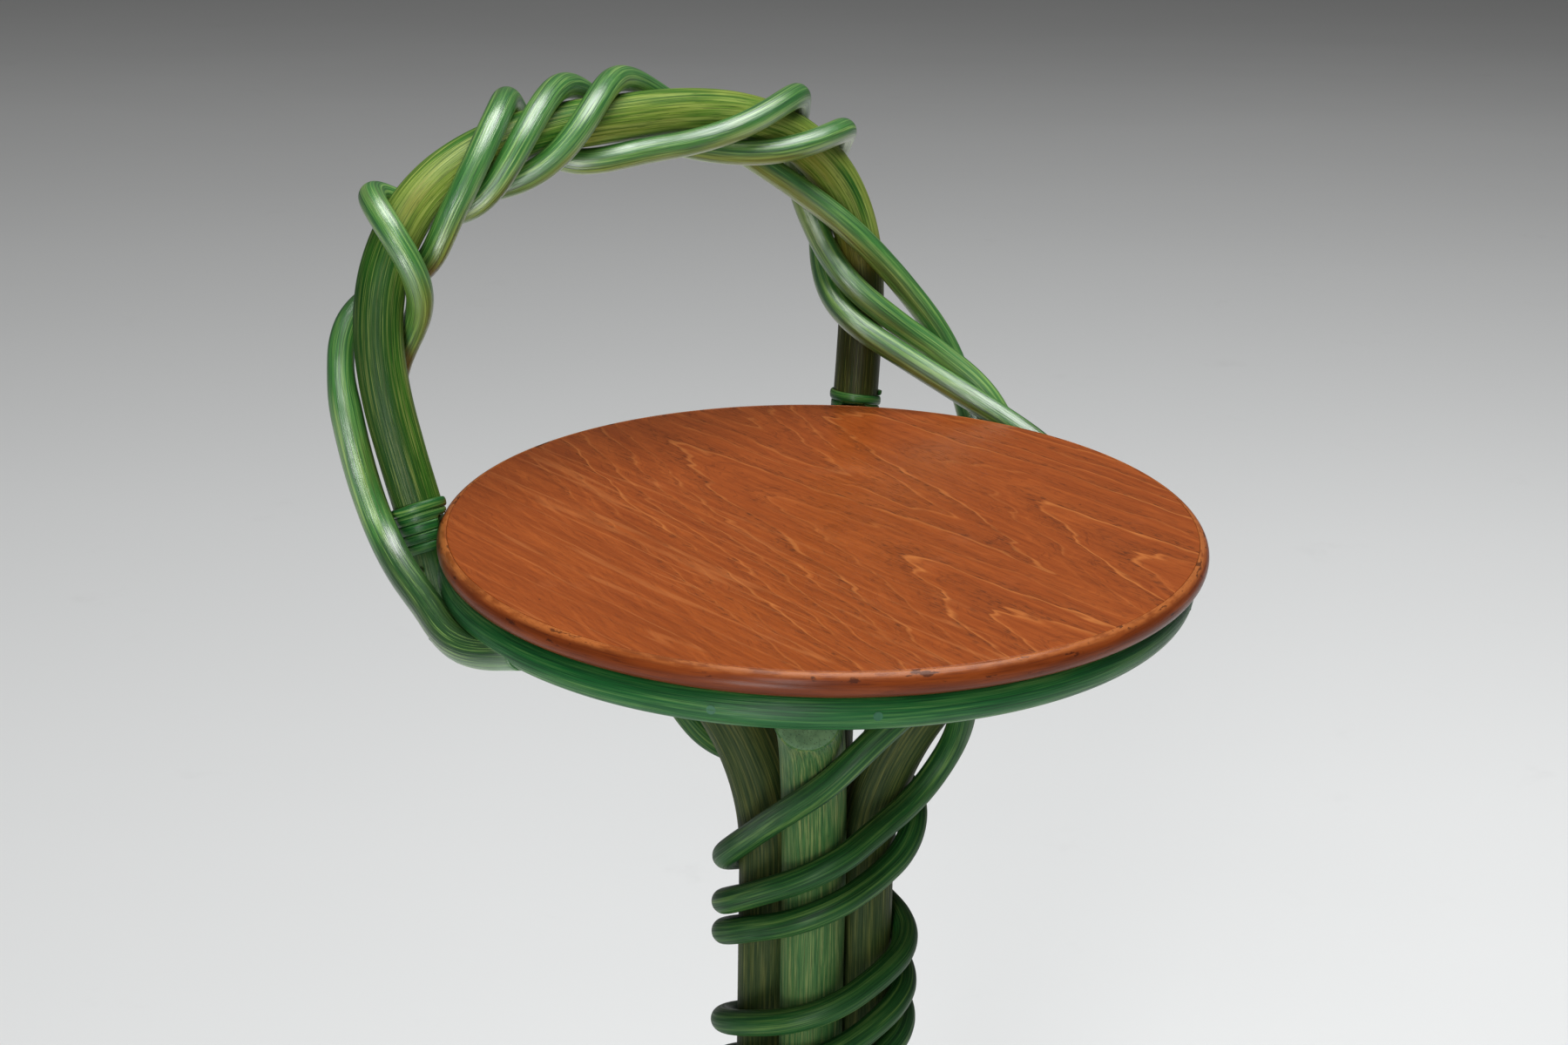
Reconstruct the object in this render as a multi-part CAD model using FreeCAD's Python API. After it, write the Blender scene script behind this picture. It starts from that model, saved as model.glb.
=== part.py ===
import FreeCAD, Part
import math, os

V = FreeCAD.Vector
os.makedirs("parts", exist_ok=True)

# Stool with a round veneered seat, a column of four bent rattan poles and a
# low arched back, with thinner vines twisted round the column and the arch.
# Origin on the floor under the middle of the column, +Z up, back towards +Y.

# ---------------------------------------------------------------- driving dimensions (mm)
SEAT_H = 740.0          # floor to the top of the seat
SEAT_R = 200.0          # outer radius of the seat with its lipping
SEAT_T = 13.0           # thickness of the seat
VENEER_T = 0.8          # face and backing veneer
LIP_W = 5.2             # radial width of the solid lipping
HOOP_R = 186.8          # seat hoop, radius of its centre line
HOOP_X, HOOP_Y = -2.3, 2.0  # centre of the hoop, which sits a little to one side under the seat
HOOP_D = 20.0           # seat hoop, diameter of the pole
HOOP_FLAT = 0.5         # planed off the top of the hoop where the panel rests
RAIL_W = 86.0           # seat rails, width
RAIL_T = 30.0           # seat rails, thickness
RAIL_AZ = 45.95         # direction of the long rail
RAIL_STEP = 148.0       # beyond this radius the rails are planed level with the hoop
POLE_D = 34.5           # column poles
POLE_C = 24.6           # axis of a pole from the axis of the column
ARM_BEND = 165.0        # bend radius at the top of a pole
FOOT_BEND = 120.0       # bend radius at the bottom of a pole
FOOT_Z = 44.25          # height of the axis of a foot
FOOT_END = 215.0        # end of a foot from the axis of the column
#        azimuth, start of the bend below the seat, bend angle, end of the arm
ARMS = {"front_left": (-134.3, 207.0, 60.0, 119.5),
        "front_right": (-43.8, 193.0, 36.0, 94.0),
        "back_right": (46.2, 200.0, 52.0, 108.0),
        "back_left": (136.2, 190.0, 52.0, 103.0)}
VINE_D = 14.4           # thin poles that twist round the arch and the column
BUTT_D = 17.2           # thicker butt end of the vine that starts at the left of the hoop
BUTT_N = 18             # the butt ends at this point of its line
ARCH_D = 26.0           # pole of the back arch
BASE_R = 205.0          # base hoop, radius of its centre line
BASE_D = 26.0           # base hoop, diameter of the pole
GLIDE_D = 24.0          # floor glides
GLIDE_T = 5.0
BIND_BANDS = 5          # turns of cane round each foot of the arch
BIND_PITCH = 5.6
BIND_T = 1.2

# Centre lines of the bent poles, as points along each pole.
ARCH = [
    (-144.4, 139.2, 690.2), (-146.7, 141.7, 708.1), (-149.8, 144.2, 725.8), (-153.4, 146.7, 743.5),
    (-157.3, 149.1, 761.1), (-160.9, 151.6, 778.7), (-164.1, 154.1, 796.5), (-166, 156.6, 814.4),
    (-166.1, 159.2, 832.4), (-163.7, 161.7, 850.2), (-158, 164.1, 867.3), (-148.8, 166.2, 882.8),
    (-136.5, 168.1, 896), (-121.6, 169.5, 906.2), (-105, 170.6, 913.5), (-87.5, 171.3, 918.5),
    (-69.6, 171.7, 921.5), (-51.4, 171.9, 923), (-33.3, 172, 923.4), (-15.1, 171.9, 923.1),
    (3.1, 171.8, 922.4), (21.3, 171.7, 921.6), (39.4, 171.5, 920.1), (57.4, 171.2, 917.7),
    (75.2, 170.6, 914.1), (92.6, 169.9, 908.8), (109.3, 168.9, 901.7), (124.8, 167.6, 892.3),
    (138.5, 165.9, 880.4), (149.7, 163.9, 866.3), (157.7, 161.7, 850.1), (162.3, 159.2, 832.7),
    (163.8, 156.7, 814.8), (162.7, 154.2, 796.8), (160, 151.7, 779), (156.7, 149.2, 761.3),
    (153.2, 146.7, 743.6), (149.8, 144.2, 725.9), (146.8, 141.7, 708.2), (144.4, 139.2, 690.3),]
ARCH_VINES = {
    "a": [
        (-190, 6.3, 714.7), (-190.5, 17.7, 711), (-192.1, 29.1, 707.7), (-193.8, 40.9, 705.7),
        (-194.2, 52.9, 705.4), (-192.4, 64.8, 706.1), (-189.3, 76.3, 707.4), (-185.8, 87.7, 709),
        (-182.8, 99.2, 711), (-180.4, 110.7, 713.6), (-178.6, 122, 717.3), (-177.1, 132.7, 722.5),
        (-176.1, 142.4, 729.6), (-176.1, 150.2, 738.7), (-177.1, 155.6, 749.4), (-178.6, 159.3, 760.8),
        (-180.2, 161.9, 772.4), (-181.7, 164, 784.2), (-182.7, 166.3, 795.9), (-182.7, 169.2, 807.6),
        (-180.7, 172.9, 818.9), (-176.3, 177.3, 829.1), (-169.2, 180.8, 838.2), (-159.8, 181.3, 845.5),
        (-149.8, 178.1, 851.3), (-141.5, 171.7, 857.1), (-136.6, 163.2, 864.1), (-133.6, 156, 873.2),
        (-130.5, 151.5, 883.9), (-126.1, 149.2, 894.8), (-119.8, 148.6, 905.1), (-112.7, 149.7, 914.7),
        (-104.9, 152.3, 923.5), (-96.6, 156.3, 931.2), (-87.9, 161.8, 937.3), (-79, 169.1, 940.9),
        (-70.6, 177.6, 941.2), (-62.4, 185.7, 937.8), (-54.9, 191.2, 930.4), (-48.1, 192.4, 920.7),
        (-41.5, 189, 911.3), (-34.6, 181.4, 905.1), (-26.5, 172.9, 902.6), (-16.9, 165.8, 903.2),
        (-6, 161.1, 904.8), (5.8, 158.7, 905.8), (17.7, 157.3, 906.2), (29.7, 156.1, 906.5),
        (41.6, 154.5, 907.4), (53.3, 152.4, 909.2), (65, 150.6, 911.6), (76.6, 149.8, 914.6),
        (88.2, 150.6, 917.6), (99.7, 153.4, 919.9), (110.6, 158.3, 920.6), (120.5, 164.9, 918.9),
        (128.3, 172.6, 914.1), (134, 179.8, 906.4), (137.1, 184.9, 896), (138, 186.9, 884.2),
        (137.8, 185.6, 872.3), (137.8, 181.3, 861.1), (138.3, 175.9, 850.3), (139.5, 170, 839.9),
        (140.8, 163.3, 830), (142.2, 155.5, 820.9), (144.7, 147.3, 812.5), (149.4, 139.6, 804.5),
        (156, 133, 796.9), (163.5, 127.3, 789.4), (171.3, 121.8, 782.1), (179.1, 116, 775),
        (186.4, 109.8, 767.8), (193.2, 103, 760.6), (199.1, 95.8, 752.9), (203.6, 88.6, 744.3),
        (206.3, 81.9, 734.7), (206.5, 74.7, 725.1), (204, 66.7, 716.6), (199.3, 57.9, 709.8),
        (193.4, 48.6, 705),],
    "b": [
        (-146.2, 167.5, 754.2), (-148.3, 168.7, 766), (-150.2, 169.9, 777.9), (-151, 170.7, 789.9),
        (-150.5, 170.4, 801.9), (-148.7, 168.3, 813.7), (-146.4, 164.2, 824.8), (-145, 158.5, 835.3),
        (-145.7, 152.2, 845.6), (-148.4, 146.8, 856), (-152.6, 144, 866.9), (-157.3, 144.7, 878),
        (-160.9, 149.6, 888.3), (-162.2, 158, 896.8), (-160.2, 168.6, 902), (-154.3, 179, 902.8),
        (-145.5, 186.6, 900.1), (-135, 188.8, 895), (-124.7, 185.4, 889.9), (-115.7, 177.9, 887.6),
        (-108.7, 168.3, 889.6), (-102.7, 159.5, 895.2), (-96.6, 153.6, 903.8), (-90.1, 150.9, 913.4),
        (-82.5, 150.9, 922.8), (-73.9, 153.3, 930.9), (-64.6, 157.6, 937.3), (-54.9, 163.2, 941.8),
        (-44.9, 169.6, 944), (-34.8, 176.2, 943.9), (-24.8, 182.4, 941.4), (-14.9, 187.5, 936.8),
        (-5.1, 191.1, 930.8), (4.7, 192.6, 924), (14.6, 192, 917), (24.5, 189.5, 910.6), (34.5, 185.5, 905.1),
        (44.6, 180.6, 900.8), (54.9, 175.2, 897.5), (65.2, 169.5, 895.2), (75.7, 163.6, 893.7),
        (86.3, 157.8, 893.2), (97.2, 152.7, 893.7), (108.5, 148.8, 895.2), (120.3, 147.2, 897),
        (132.2, 148.7, 898.3), (143.3, 153.3, 898), (152.3, 160.6, 894.9), (158.3, 169, 888.8),
        (161.2, 176.4, 879.8), (160.9, 181.2, 868.8), (158.7, 183.1, 857.1), (155.8, 182.2, 845.4),
        (152.6, 179.1, 834.2), (149.2, 174.6, 823.5), (145.9, 168.8, 813.5), (143.1, 161, 804.7),
        (141.9, 151.8, 797.1), (143.7, 142.2, 790.1), (148.5, 133.4, 783.4), (155.1, 125.5, 777.1),
        (162, 117.8, 770.9), (168.9, 110, 764.7), (175.6, 101.9, 758.8), (181.9, 93.4, 753),
        (187.8, 84.4, 747.5), (192.9, 74.8, 742.3), (197.2, 64.6, 737.3), (200.5, 54.1, 732.5),
        (202.6, 43.2, 727.8), (203.3, 32.1, 723.1), (203, 20.9, 718.6), (202.1, 9.4, 715),
        (201.2, -2.4, 712.4), (200, -14.2, 710.5),],
    "c": [
        (-109.5, 190.2, 900.4), (-100.1, 183.2, 897.3), (-90.7, 175.7, 896.8), (-81.3, 168.3, 898.7),
        (-72.1, 161.5, 902.6), (-63.1, 155.9, 908.4), (-54.2, 152.4, 915.8), (-45.3, 151.3, 923.9),
        (-36.2, 152.8, 931.7), (-26.7, 156.9, 937.9), (-17, 162.8, 941.9), (-7, 169.4, 943.6),
        (3.1, 176, 942.9), (13.3, 181.8, 940.1), (23.6, 186.6, 935.8), (33.8, 189.9, 930.2),
        (43.9, 191.8, 923.9), (54, 192, 917.3), (64, 190.8, 910.5), (73.6, 188.5, 903.6), (83, 185.2, 896.7),
        (92.2, 181.3, 889.8), (101.1, 177.1, 882.9), (109.9, 172.5, 875.9), (118.3, 167.3, 868.9),
        (126.2, 161.5, 861.8), (133.7, 155.3, 854.5), (140.9, 149.3, 847), (148.1, 144, 838.9),
        (155.4, 139.4, 830.3), (162.7, 135.7, 821.4), (170, 132.6, 812.3), (177.1, 129.8, 802.9),
        (184, 126.9, 793.4), (190.4, 123.8, 783.6), (195.9, 120.5, 773.4), (200.2, 117, 762.6),
        (201.9, 112.1, 751.7), (200.7, 105.5, 741.7), (197.6, 97.5, 733.2), (194, 89.1, 725.3),
        (191.1, 81.1, 716.7), (189.3, 73.9, 707.1), (188.2, 67.2, 697.1),],
}
COLUMN_VINES = {
    "a": [
        (23.3, -116.4, 737.8), (16.7, -113.5, 724.6), (9.6, -110.1, 711.9), (1.5, -106.3, 699.9),
        (-7.9, -102.3, 689.1), (-18.5, -98, 679.4), (-29.2, -93.3, 670), (-39, -88.1, 660.1),
        (-47.1, -81.9, 649.1), (-52.9, -74.1, 637.8), (-55.9, -64.1, 627.1), (-56.5, -52.9, 617.3),
        (-55.3, -41.3, 607.9), (-52.8, -29.7, 598.8), (-49.9, -18.1, 589.7), (-47.1, -6.7, 580.5),
        (-45, 4.7, 571.1), (-43.7, 16.1, 561.5), (-40.2, 27.3, 552.2), (-32.3, 37, 544.1), (-20.2, 43.1, 538),
        (-6.2, 45.6, 533.6), (8.3, 45.7, 529.8), (22.5, 42.8, 526.2), (34.5, 35, 522.3), (42.2, 23, 518.2),
        (45.4, 9, 514.2), (45.8, -5.4, 510.2), (43.7, -19.7, 506.2), (37, -32.3, 502.3), (25.7, -41.1, 498.2),
        (11.9, -45, 494.2), (-2.3, -45.9, 489.7), (-16.4, -44.6, 484.9), (-29.3, -39.2, 479.9),
        (-39.1, -29.2, 474.7), (-44.5, -16.4, 469.4), (-46.1, -2.6, 463.8), (-45.5, 11.1, 457.9),
        (-42, 24.4, 452.1), (-33.9, 35.6, 446.4), (-21.9, 42.6, 441.2), (-8.1, 45.5, 436.5),
        (6.1, 45.8, 431.8), (20.1, 43.5, 427.3), (32.6, 36.8, 422.6), (41.1, 25.7, 417.8), (45, 12, 413.2),
        (46, -2.2, 408.6), (44.5, -16.3, 404), (39.2, -29.4, 399.4), (29.1, -39.2, 394.6), (15.9, -44.3, 390),
        (1.8, -46, 385.4), (-12.4, -45.1, 380.8), (-26, -41.1, 376.2), (-37, -32.3, 371.4),
        (-43.4, -19.7, 366.8), (-45.7, -5.7, 362.2), (-45.7, 8.5, 357.6), (-42.7, 22.4, 353),
        (-35.2, 34.3, 348.2), (-23.4, 42.1, 343.5), (-9.6, 45.3, 339), (4.6, 45.9, 334.3), (18.7, 43.9, 329.8),
        (31.4, 37.8, 325.1), (40.4, 27, 320.3), (44.8, 13.5, 315.7), (46, -0.7, 311.1), (44.8, -14.8, 306.5),
        (40, -28.2, 301.9), (30.3, -38.4, 297.1), (17.4, -44, 292.5), (3.3, -45.8, 287.9),
        (-10.9, -45.4, 283.3), (-24.7, -41.8, 278.7), (-35.9, -33.4, 273.9), (-43, -21.2, 269.2),
        (-45.7, -7.2, 264.6), (-45.7, 7, 260.1), (-43.2, 21, 255.5), (-36.2, 33.3, 250.7), (-24.8, 41.5, 246),
        (-11.1, 45.1, 241.4), (3.1, 46, 236.8), (17.2, 44.4, 232.3), (30.1, 38.6, 227.6), (39.7, 28.3, 222.8),
        (44.5, 15, 218.2), (46, 0.8, 213.6), (45, -13.3, 209), (40.8, -26.9, 204.4), (31.6, -37.6, 199.6),
        (18.8, -43.6, 195), (4.8, -46, 190.3), (-9.4, -45.6, 185.7), (-23, -42.2, 180.7),
        (-34.9, -35.2, 175.1), (-44.5, -26, 168.3), (-53.3, -17.6, 159.5), (-61.8, -11.4, 149),
        (-70.4, -7.7, 137.3), (-79, -5.6, 125.3), (-88, -4.3, 113.4), (-97.4, -3.6, 101.8),
        (-107.2, -3.1, 90.5), (-117.6, -2.7, 79.7), (-128.5, -2.3, 69.5), (-140.3, -1.9, 60.3),
        (-152.9, -1.6, 52.2), (-166.3, -1.2, 45.6), (-180.3, -0.8, 40.4), (-194.8, -0.2, 36.6),],
    "b": [
        (40.7, -67.7, 710), (39.3, -69.2, 695.2), (38.3, -70.6, 680.3), (38.4, -70.6, 665.3),
        (40.3, -68.2, 650.6), (43.2, -63.2, 636.8), (44.6, -56.8, 623.3), (42, -50.9, 609.9),
        (33.7, -47.6, 597.9), (21.8, -46.3, 589.1), (8, -46.2, 583.1), (-6, -46.8, 578), (-20, -46.7, 572.6),
        (-32.5, -41.7, 566.2), (-40.3, -31.6, 558.7), (-43, -19.1, 551), (-43.2, -6.3, 543.2),
        (-43, 6.6, 535.4), (-42.7, 19.6, 527.9), (-37.7, 31.7, 520.9), (-27, 40.3, 515.1),
        (-13.4, 44.7, 510.7), (0.9, 45.9, 506.7), (15.4, 44.7, 502.8), (28.8, 39.6, 498.7), (39, 29.6, 494.6),
        (44.2, 16.2, 490.5), (45.9, 1.9, 486.4), (45.2, -12.5, 482.4), (41, -26.2, 478.1),
        (32.1, -37.2, 473.6), (19.3, -43.5, 469.1), (5.3, -45.8, 464.5), (-8.9, -45.6, 459.7),
        (-22.8, -42.6, 454.9), (-34.6, -35, 449.8), (-42.2, -23.4, 444.4), (-45.4, -9.8, 439.1),
        (-46.1, 4.1, 433.6), (-44.1, 17.9, 428), (-38.4, 30.6, 422.5), (-28.1, 39.8, 417.2),
        (-14.7, 44.4, 412.4), (-0.6, 46, 407.8), (13.7, 44.9, 403.2), (27.2, 40.6, 398.6), (37.8, 31.3, 393.8),
        (43.6, 18.4, 389.1), (45.9, 4.3, 384.5), (45.4, -9.9, 379.9), (42.2, -23.8, 375.3),
        (34.2, -35.4, 370.6), (21.9, -42.5, 365.9), (8.1, -45.6, 361.2), (-6.2, -45.7, 356.6),
        (-20.2, -43.4, 352), (-32.7, -36.8, 347.3), (-41.2, -25.5, 342.5), (-45.2, -11.8, 338),
        (-45.9, 2.4, 333.3), (-44.4, 16.6, 328.7), (-39.1, 29.7, 324.1), (-28.8, 39.4, 319.3),
        (-15.5, 44.4, 314.7), (-1.3, 46, 310.1), (12.9, 45.1, 305.4), (26.5, 41, 300.8), (37.2, 31.9, 296.1),
        (43.5, 19.2, 291.4), (45.8, 5.1, 286.8), (45.5, -9.1, 282.1), (42.6, -23.1, 277.6),
        (34.7, -34.8, 272.8), (22.8, -42.3, 268.1), (8.9, -45.4, 263.5), (-5.4, -45.8, 258.9),
        (-19.4, -43.7, 254.3), (-32.1, -37.2, 249.6), (-40.9, -26.3, 244.8), (-44.9, -12.6, 240.2),
        (-46.1, 1.6, 235.7), (-44.6, 15.8, 231), (-39.4, 29, 226.3), (-29.6, 39.1, 221.5),
        (-16.3, 44.1, 216.9), (-2.2, 46, 212.4), (12, 45.3, 207.7), (25.7, 41.2, 203.1), (36.9, 32.7, 198.3),
        (43.2, 20, 193.6), (45.9, 6, 189), (45.8, -8.2, 184.4), (42.5, -22, 179.5), (35.9, -34.2, 173.9),
        (26.9, -44, 167.1), (18.2, -52.6, 158.5), (11.8, -61.2, 148.1), (7.8, -69.8, 136.4),
        (5.7, -78.5, 124.4), (4.4, -87.4, 112.4), (3.7, -96.8, 100.7), (3.2, -106.6, 89.4),
        (2.7, -117.1, 78.7), (2.3, -128.2, 68.7), (1.9, -140.2, 59.7), (1.6, -153, 51.8), (1.2, -166.5, 45.4),
        (0.8, -180.6, 40.3), (0.2, -195.1, 36.5),],
    "c": [
        (-59.6, 106.4, 712), (-56, 102.3, 698), (-52.4, 98.1, 684), (-48.6, 93.8, 670), (-44.8, 89.2, 656.2),
        (-40.8, 84.2, 642.6), (-36.7, 78.7, 629.2), (-31.6, 72.7, 616.4), (-24.2, 66.5, 604.8),
        (-13.5, 61.2, 595.8), (-0.2, 56.8, 590.3), (14.1, 53, 587.3), (28.2, 48.2, 585.4), (40.3, 39.5, 584.5),
        (47.5, 26.4, 584.7), (50.4, 11.7, 585.4), (50.8, -3.3, 585), (48.3, -17.9, 582.4),
        (42.7, -30.3, 576.3), (33.9, -38.2, 567), (22.4, -41.7, 558.1), (8.9, -42.6, 551.6),
        (-5.5, -43.5, 547.3), (-20, -42.8, 543.4), (-32.6, -36.8, 538.2), (-40.6, -26, 531.8),
        (-42.8, -12.7, 525.1), (-43.1, 0.8, 518.5), (-43.2, 14.3, 511.7), (-40.3, 27.4, 505.1),
        (-31.4, 37.7, 499), (-18.6, 43.6, 493.8), (-4.5, 45.8, 489.2), (9.9, 45.7, 484.7), (23.7, 42.1, 480.2),
        (35.5, 34.2, 475.6), (42.6, 21.8, 470.9), (45.5, 7.8, 466.4), (45.7, -6.5, 461.8),
        (43.4, -20.7, 457.3), (36.4, -33, 452.6), (24.9, -41.5, 447.9), (11.1, -45.2, 443.4),
        (-3.2, -45.9, 438.8), (-17.4, -44.2, 434.2), (-30.4, -38.4, 429.6), (-39.9, -28, 424.7),
        (-44.6, -14.5, 420), (-46, -0.3, 415.4), (-44.9, 14, 410.7), (-40.4, 27.5, 406), (-31, 38, 401.2),
        (-18, 43.8, 396.5), (-3.8, 45.8, 391.8), (10.5, 45.5, 387.3), (24.3, 41.9, 382.6), (35.9, 33.7, 377.8),
        (42.8, 21.3, 373.1), (45.6, 7.2, 368.5), (45.7, -7.1, 363.8), (43.2, -21.2, 359.2),
        (36.1, -33.4, 354.5), (24.5, -41.6, 349.7), (10.7, -45.3, 345.1), (-3.6, -45.9, 340.5),
        (-17.8, -44.1, 335.8), (-30.7, -38.3, 331.2), (-40.1, -27.6, 326.4), (-44.8, -14.2, 321.6),
        (-45.9, 0.1, 317.1), (-44.9, 14.4, 312.5), (-40.1, 27.8, 307.8), (-30.6, 38.3, 303),
        (-17.5, 43.9, 298.3), (-3.3, 45.9, 293.7), (10.9, 45.4, 289.1), (24.8, 41.7, 284.5),
        (36.2, 33.4, 279.7), (42.9, 20.9, 274.9), (45.6, 6.8, 270.3), (45.7, -7.5, 265.7),
        (43.1, -21.6, 261.1), (35.8, -33.7, 256.3), (24.1, -41.8, 251.6), (10.2, -45.3, 247),
        (-4, -45.9, 242.3), (-18.2, -44, 237.7), (-31.1, -38, 233), (-40.4, -27.3, 228.2),
        (-44.8, -13.7, 223.6), (-46, 0.6, 218.9), (-44.8, 14.8, 214.4), (-39.9, 28.2, 209.7),
        (-30.3, 38.5, 204.8), (-17.2, 44, 200.2), (-3, 46.1, 195.5), (11.3, 45.3, 190.9), (24.9, 41.5, 185.9),
        (36.4, 33.9, 180), (46, 24.7, 172.8), (54.7, 16.5, 163.7), (63.3, 10.6, 152.9), (71.9, 7.3, 141),
        (80.7, 5.4, 128.9), (89.8, 4.2, 117), (99.3, 3.4, 105.3), (109.2, 3, 94), (119.5, 2.7, 83),
        (130.1, 2.4, 72.3), (141, 2.1, 61.9), (153, 1.6, 52.9), (166.3, 1.2, 45.8), (180.3, 0.8, 40.4),
        (194.9, 0.8, 36.5),],
}


UP = V(0, 0, 1)
MIDDLE = V(0, 0, 0)
HOOP_C = V(HOOP_X, HOOP_Y, 0)
HOOP_Z = SEAT_H - SEAT_T - (HOOP_D / 2 - HOOP_FLAT)
RAIL_Z = SEAT_H - SEAT_T - RAIL_T
BASE_Z = GLIDE_T + BASE_D / 2 - 1.0


def polar(r, az, z):
    a = math.radians(az)
    return V(r * math.cos(a), r * math.sin(a), z)


def unit(v):
    return V(v).normalize()


def rod(p, d, r, length):
    return Part.makeCylinder(r, length, p, d)


def turned(v, axis, deg):
    return FreeCAD.Rotation(axis, deg).multVec(v)


# ---------------------------------------------------------------- bent poles
def tangents(p):
    n = len(p)
    h = [(p[i + 1] - p[i]).Length for i in range(n - 1)]
    c = [unit(p[i + 1] - p[i]) for i in range(n - 1)]
    t = [None] * n
    for i in range(1, n - 1):
        t[i] = unit(c[i - 1] * h[i] + c[i] * h[i - 1])
    t[0] = unit(c[0] * (2 * c[0].dot(t[1])) - t[1])
    t[-1] = unit(c[-1] * (2 * c[-1].dot(t[-2])) - t[-2])
    return t


def arc(p, q, t):
    # circular arc from p to q that leaves p along t
    m = (p + q) * 0.5
    half = (q - p).Length / 2
    cosa = max(-1.0, min(1.0, unit(q - p).dot(t)))
    if cosa > 1 - 1e-7:
        return Part.LineSegment(p, q).toShape()
    vertex = p + t * (half / cosa)
    return Part.Arc(p, m + (vertex - m) * (cosa / (1 + cosa)), q).toShape()


def smooth_path(pts):
    # two tangent arcs between each pair of points
    p = [V(*q) for q in pts]
    t = tangents(p)
    edges = []
    for i in range(len(p) - 1):
        p0, p1, t0, t1 = p[i], p[i + 1], t[i], t[i + 1]
        v = p1 - p0
        s = t0 + t1
        k = 2 * (1 - t0.dot(t1))
        if k < 1e-9:
            d = v.dot(v) / (2 * v.dot(s))
        else:
            d = (-v.dot(s) + math.sqrt(v.dot(s) ** 2 + k * v.dot(v))) / k
        m = (p0 + p1 + (t0 - t1) * d) * 0.5
        tm = unit(p1 - t1 * d - p0 - t0 * d)
        edges.append(arc(p0, m, t0))
        edges.append(arc(m, p1, tm))
    return edges, p, t


def tube(pts, d):
    edges, p, t = smooth_path(pts)
    return sweep(edges, p[0], t[0], d)


def butt_tube(pts, d, butt_d, k):
    # thicker up to point k, then a smooth neck over two steps
    edges, p, t = smooth_path(pts)
    ring_at = lambda i, w: Part.Wire(Part.Circle(p[i], t[i], w / 2).toShape())
    neck = Part.makeLoft([ring_at(k, butt_d), ring_at(k + 1, (d + butt_d) / 2), ring_at(k + 2, d)], True, False)
    body = sweep(edges[:2 * k], p[0], t[0], butt_d)
    body = body.fuse([neck, sweep(edges[2 * k + 4:], p[k + 2], t[k + 2], d)]).removeSplitter()
    print("butt", len(body.Solids), body.isValid())
    return body


def sweep(edges, p0, t0, d):
    wire = Part.Wire(edges)
    disc = Part.Face(Part.Wire(Part.Circle(p0, t0, d / 2).toShape()))
    body = wire.makePipe(disc)
    body = body if body.ShapeType == "Solid" else Part.Solid(body)
    want = math.pi * d * d / 4 * wire.Length
    print("tube length %.0f volume ratio %.4f valid %s" % (wire.Length, body.Volume / want, body.isValid()))
    return body


def nearest(pts, q):
    p = [V(*a) for a in pts]
    best = None
    for i in range(len(p) - 1):
        e = p[i + 1] - p[i]
        s = max(0.0, min(1.0, (q - p[i]).dot(e) / e.dot(e)))
        x = p[i] + e * s
        if best is None or (x - q).Length < best[0]:
            best = ((x - q).Length, x)
    return best


# ---------------------------------------------------------------- node store
nodes = {}
holes = {}


def hole(node, *tools):
    holes.setdefault(node, []).extend(tools)


def group(name, solid):
    nodes.setdefault(name, []).append(solid)


# ---------------------------------------------------------------- seat
panel_r = SEAT_R - LIP_W
z_under = SEAT_H - SEAT_T
nodes["seat_veneer"] = [rod(V(0, 0, SEAT_H - VENEER_T), UP, panel_r, VENEER_T)]
nodes["seat_panel"] = [rod(V(0, 0, z_under + VENEER_T), UP, panel_r, SEAT_T - 2 * VENEER_T)]
nodes["seat_backing"] = [rod(V(0, 0, z_under), UP, panel_r, VENEER_T)]
a, b = V(panel_r, 0, z_under), V(panel_r, 0, SEAT_H)
c, d = V(panel_r + 0.8, 0, SEAT_H), V(panel_r + 0.8, 0, z_under)
lip = Part.Wire([Part.LineSegment(a, b).toShape(), Part.LineSegment(b, c).toShape(),
                 Part.Arc(c, V(SEAT_R, 0, (SEAT_H + z_under) / 2), d).toShape(),
                 Part.LineSegment(d, a).toShape()])
nodes["seat_lipping"] = [Part.Face(lip).revolve(V(0, 0, 0), UP, 360)]


def scarf(c, r, d, z, az, slope=18.0):
    # thin slanting saw cut through a hoop
    length = d / math.sin(math.radians(slope)) + 12
    box = Part.makeBox(length, 60, 0.25, V(-length / 2, -30, -0.125))
    box.Placement = FreeCAD.Placement(V(0, 0, 0), FreeCAD.Rotation(V(0, 1, 0), slope))
    turn = FreeCAD.Placement(c + polar(r, az, z), FreeCAD.Rotation(UP, az + 90))
    box.Placement = turn.multiply(box.Placement)
    return box


SEAT_SCARF_AZ, BASE_SCARF_AZ = 92.0, 70.0
hoop = Part.makeTorus(HOOP_R, HOOP_D / 2, HOOP_C + UP * HOOP_Z, UP)
hoop.rotate(HOOP_C, UP, 112)
hoop = hoop.cut(Part.makeBox(500, 500, 20, V(-250, -250, z_under)))
nodes["seat_hoop"] = [hoop]
hole("seat_hoop", scarf(HOOP_C, HOOP_R, HOOP_D, HOOP_Z, SEAT_SCARF_AZ))

base = Part.makeTorus(BASE_R, BASE_D / 2, V(0, 0, BASE_Z), UP)
base.rotate(V(0, 0, 0), UP, 25)
base = base.cut(Part.makeBox(600, 600, 20, V(-300, -300, GLIDE_T - 20)))
nodes["base_hoop"] = [base]
hole("base_hoop", scarf(MIDDLE, BASE_R, BASE_D, BASE_Z, BASE_SCARF_AZ))

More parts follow.
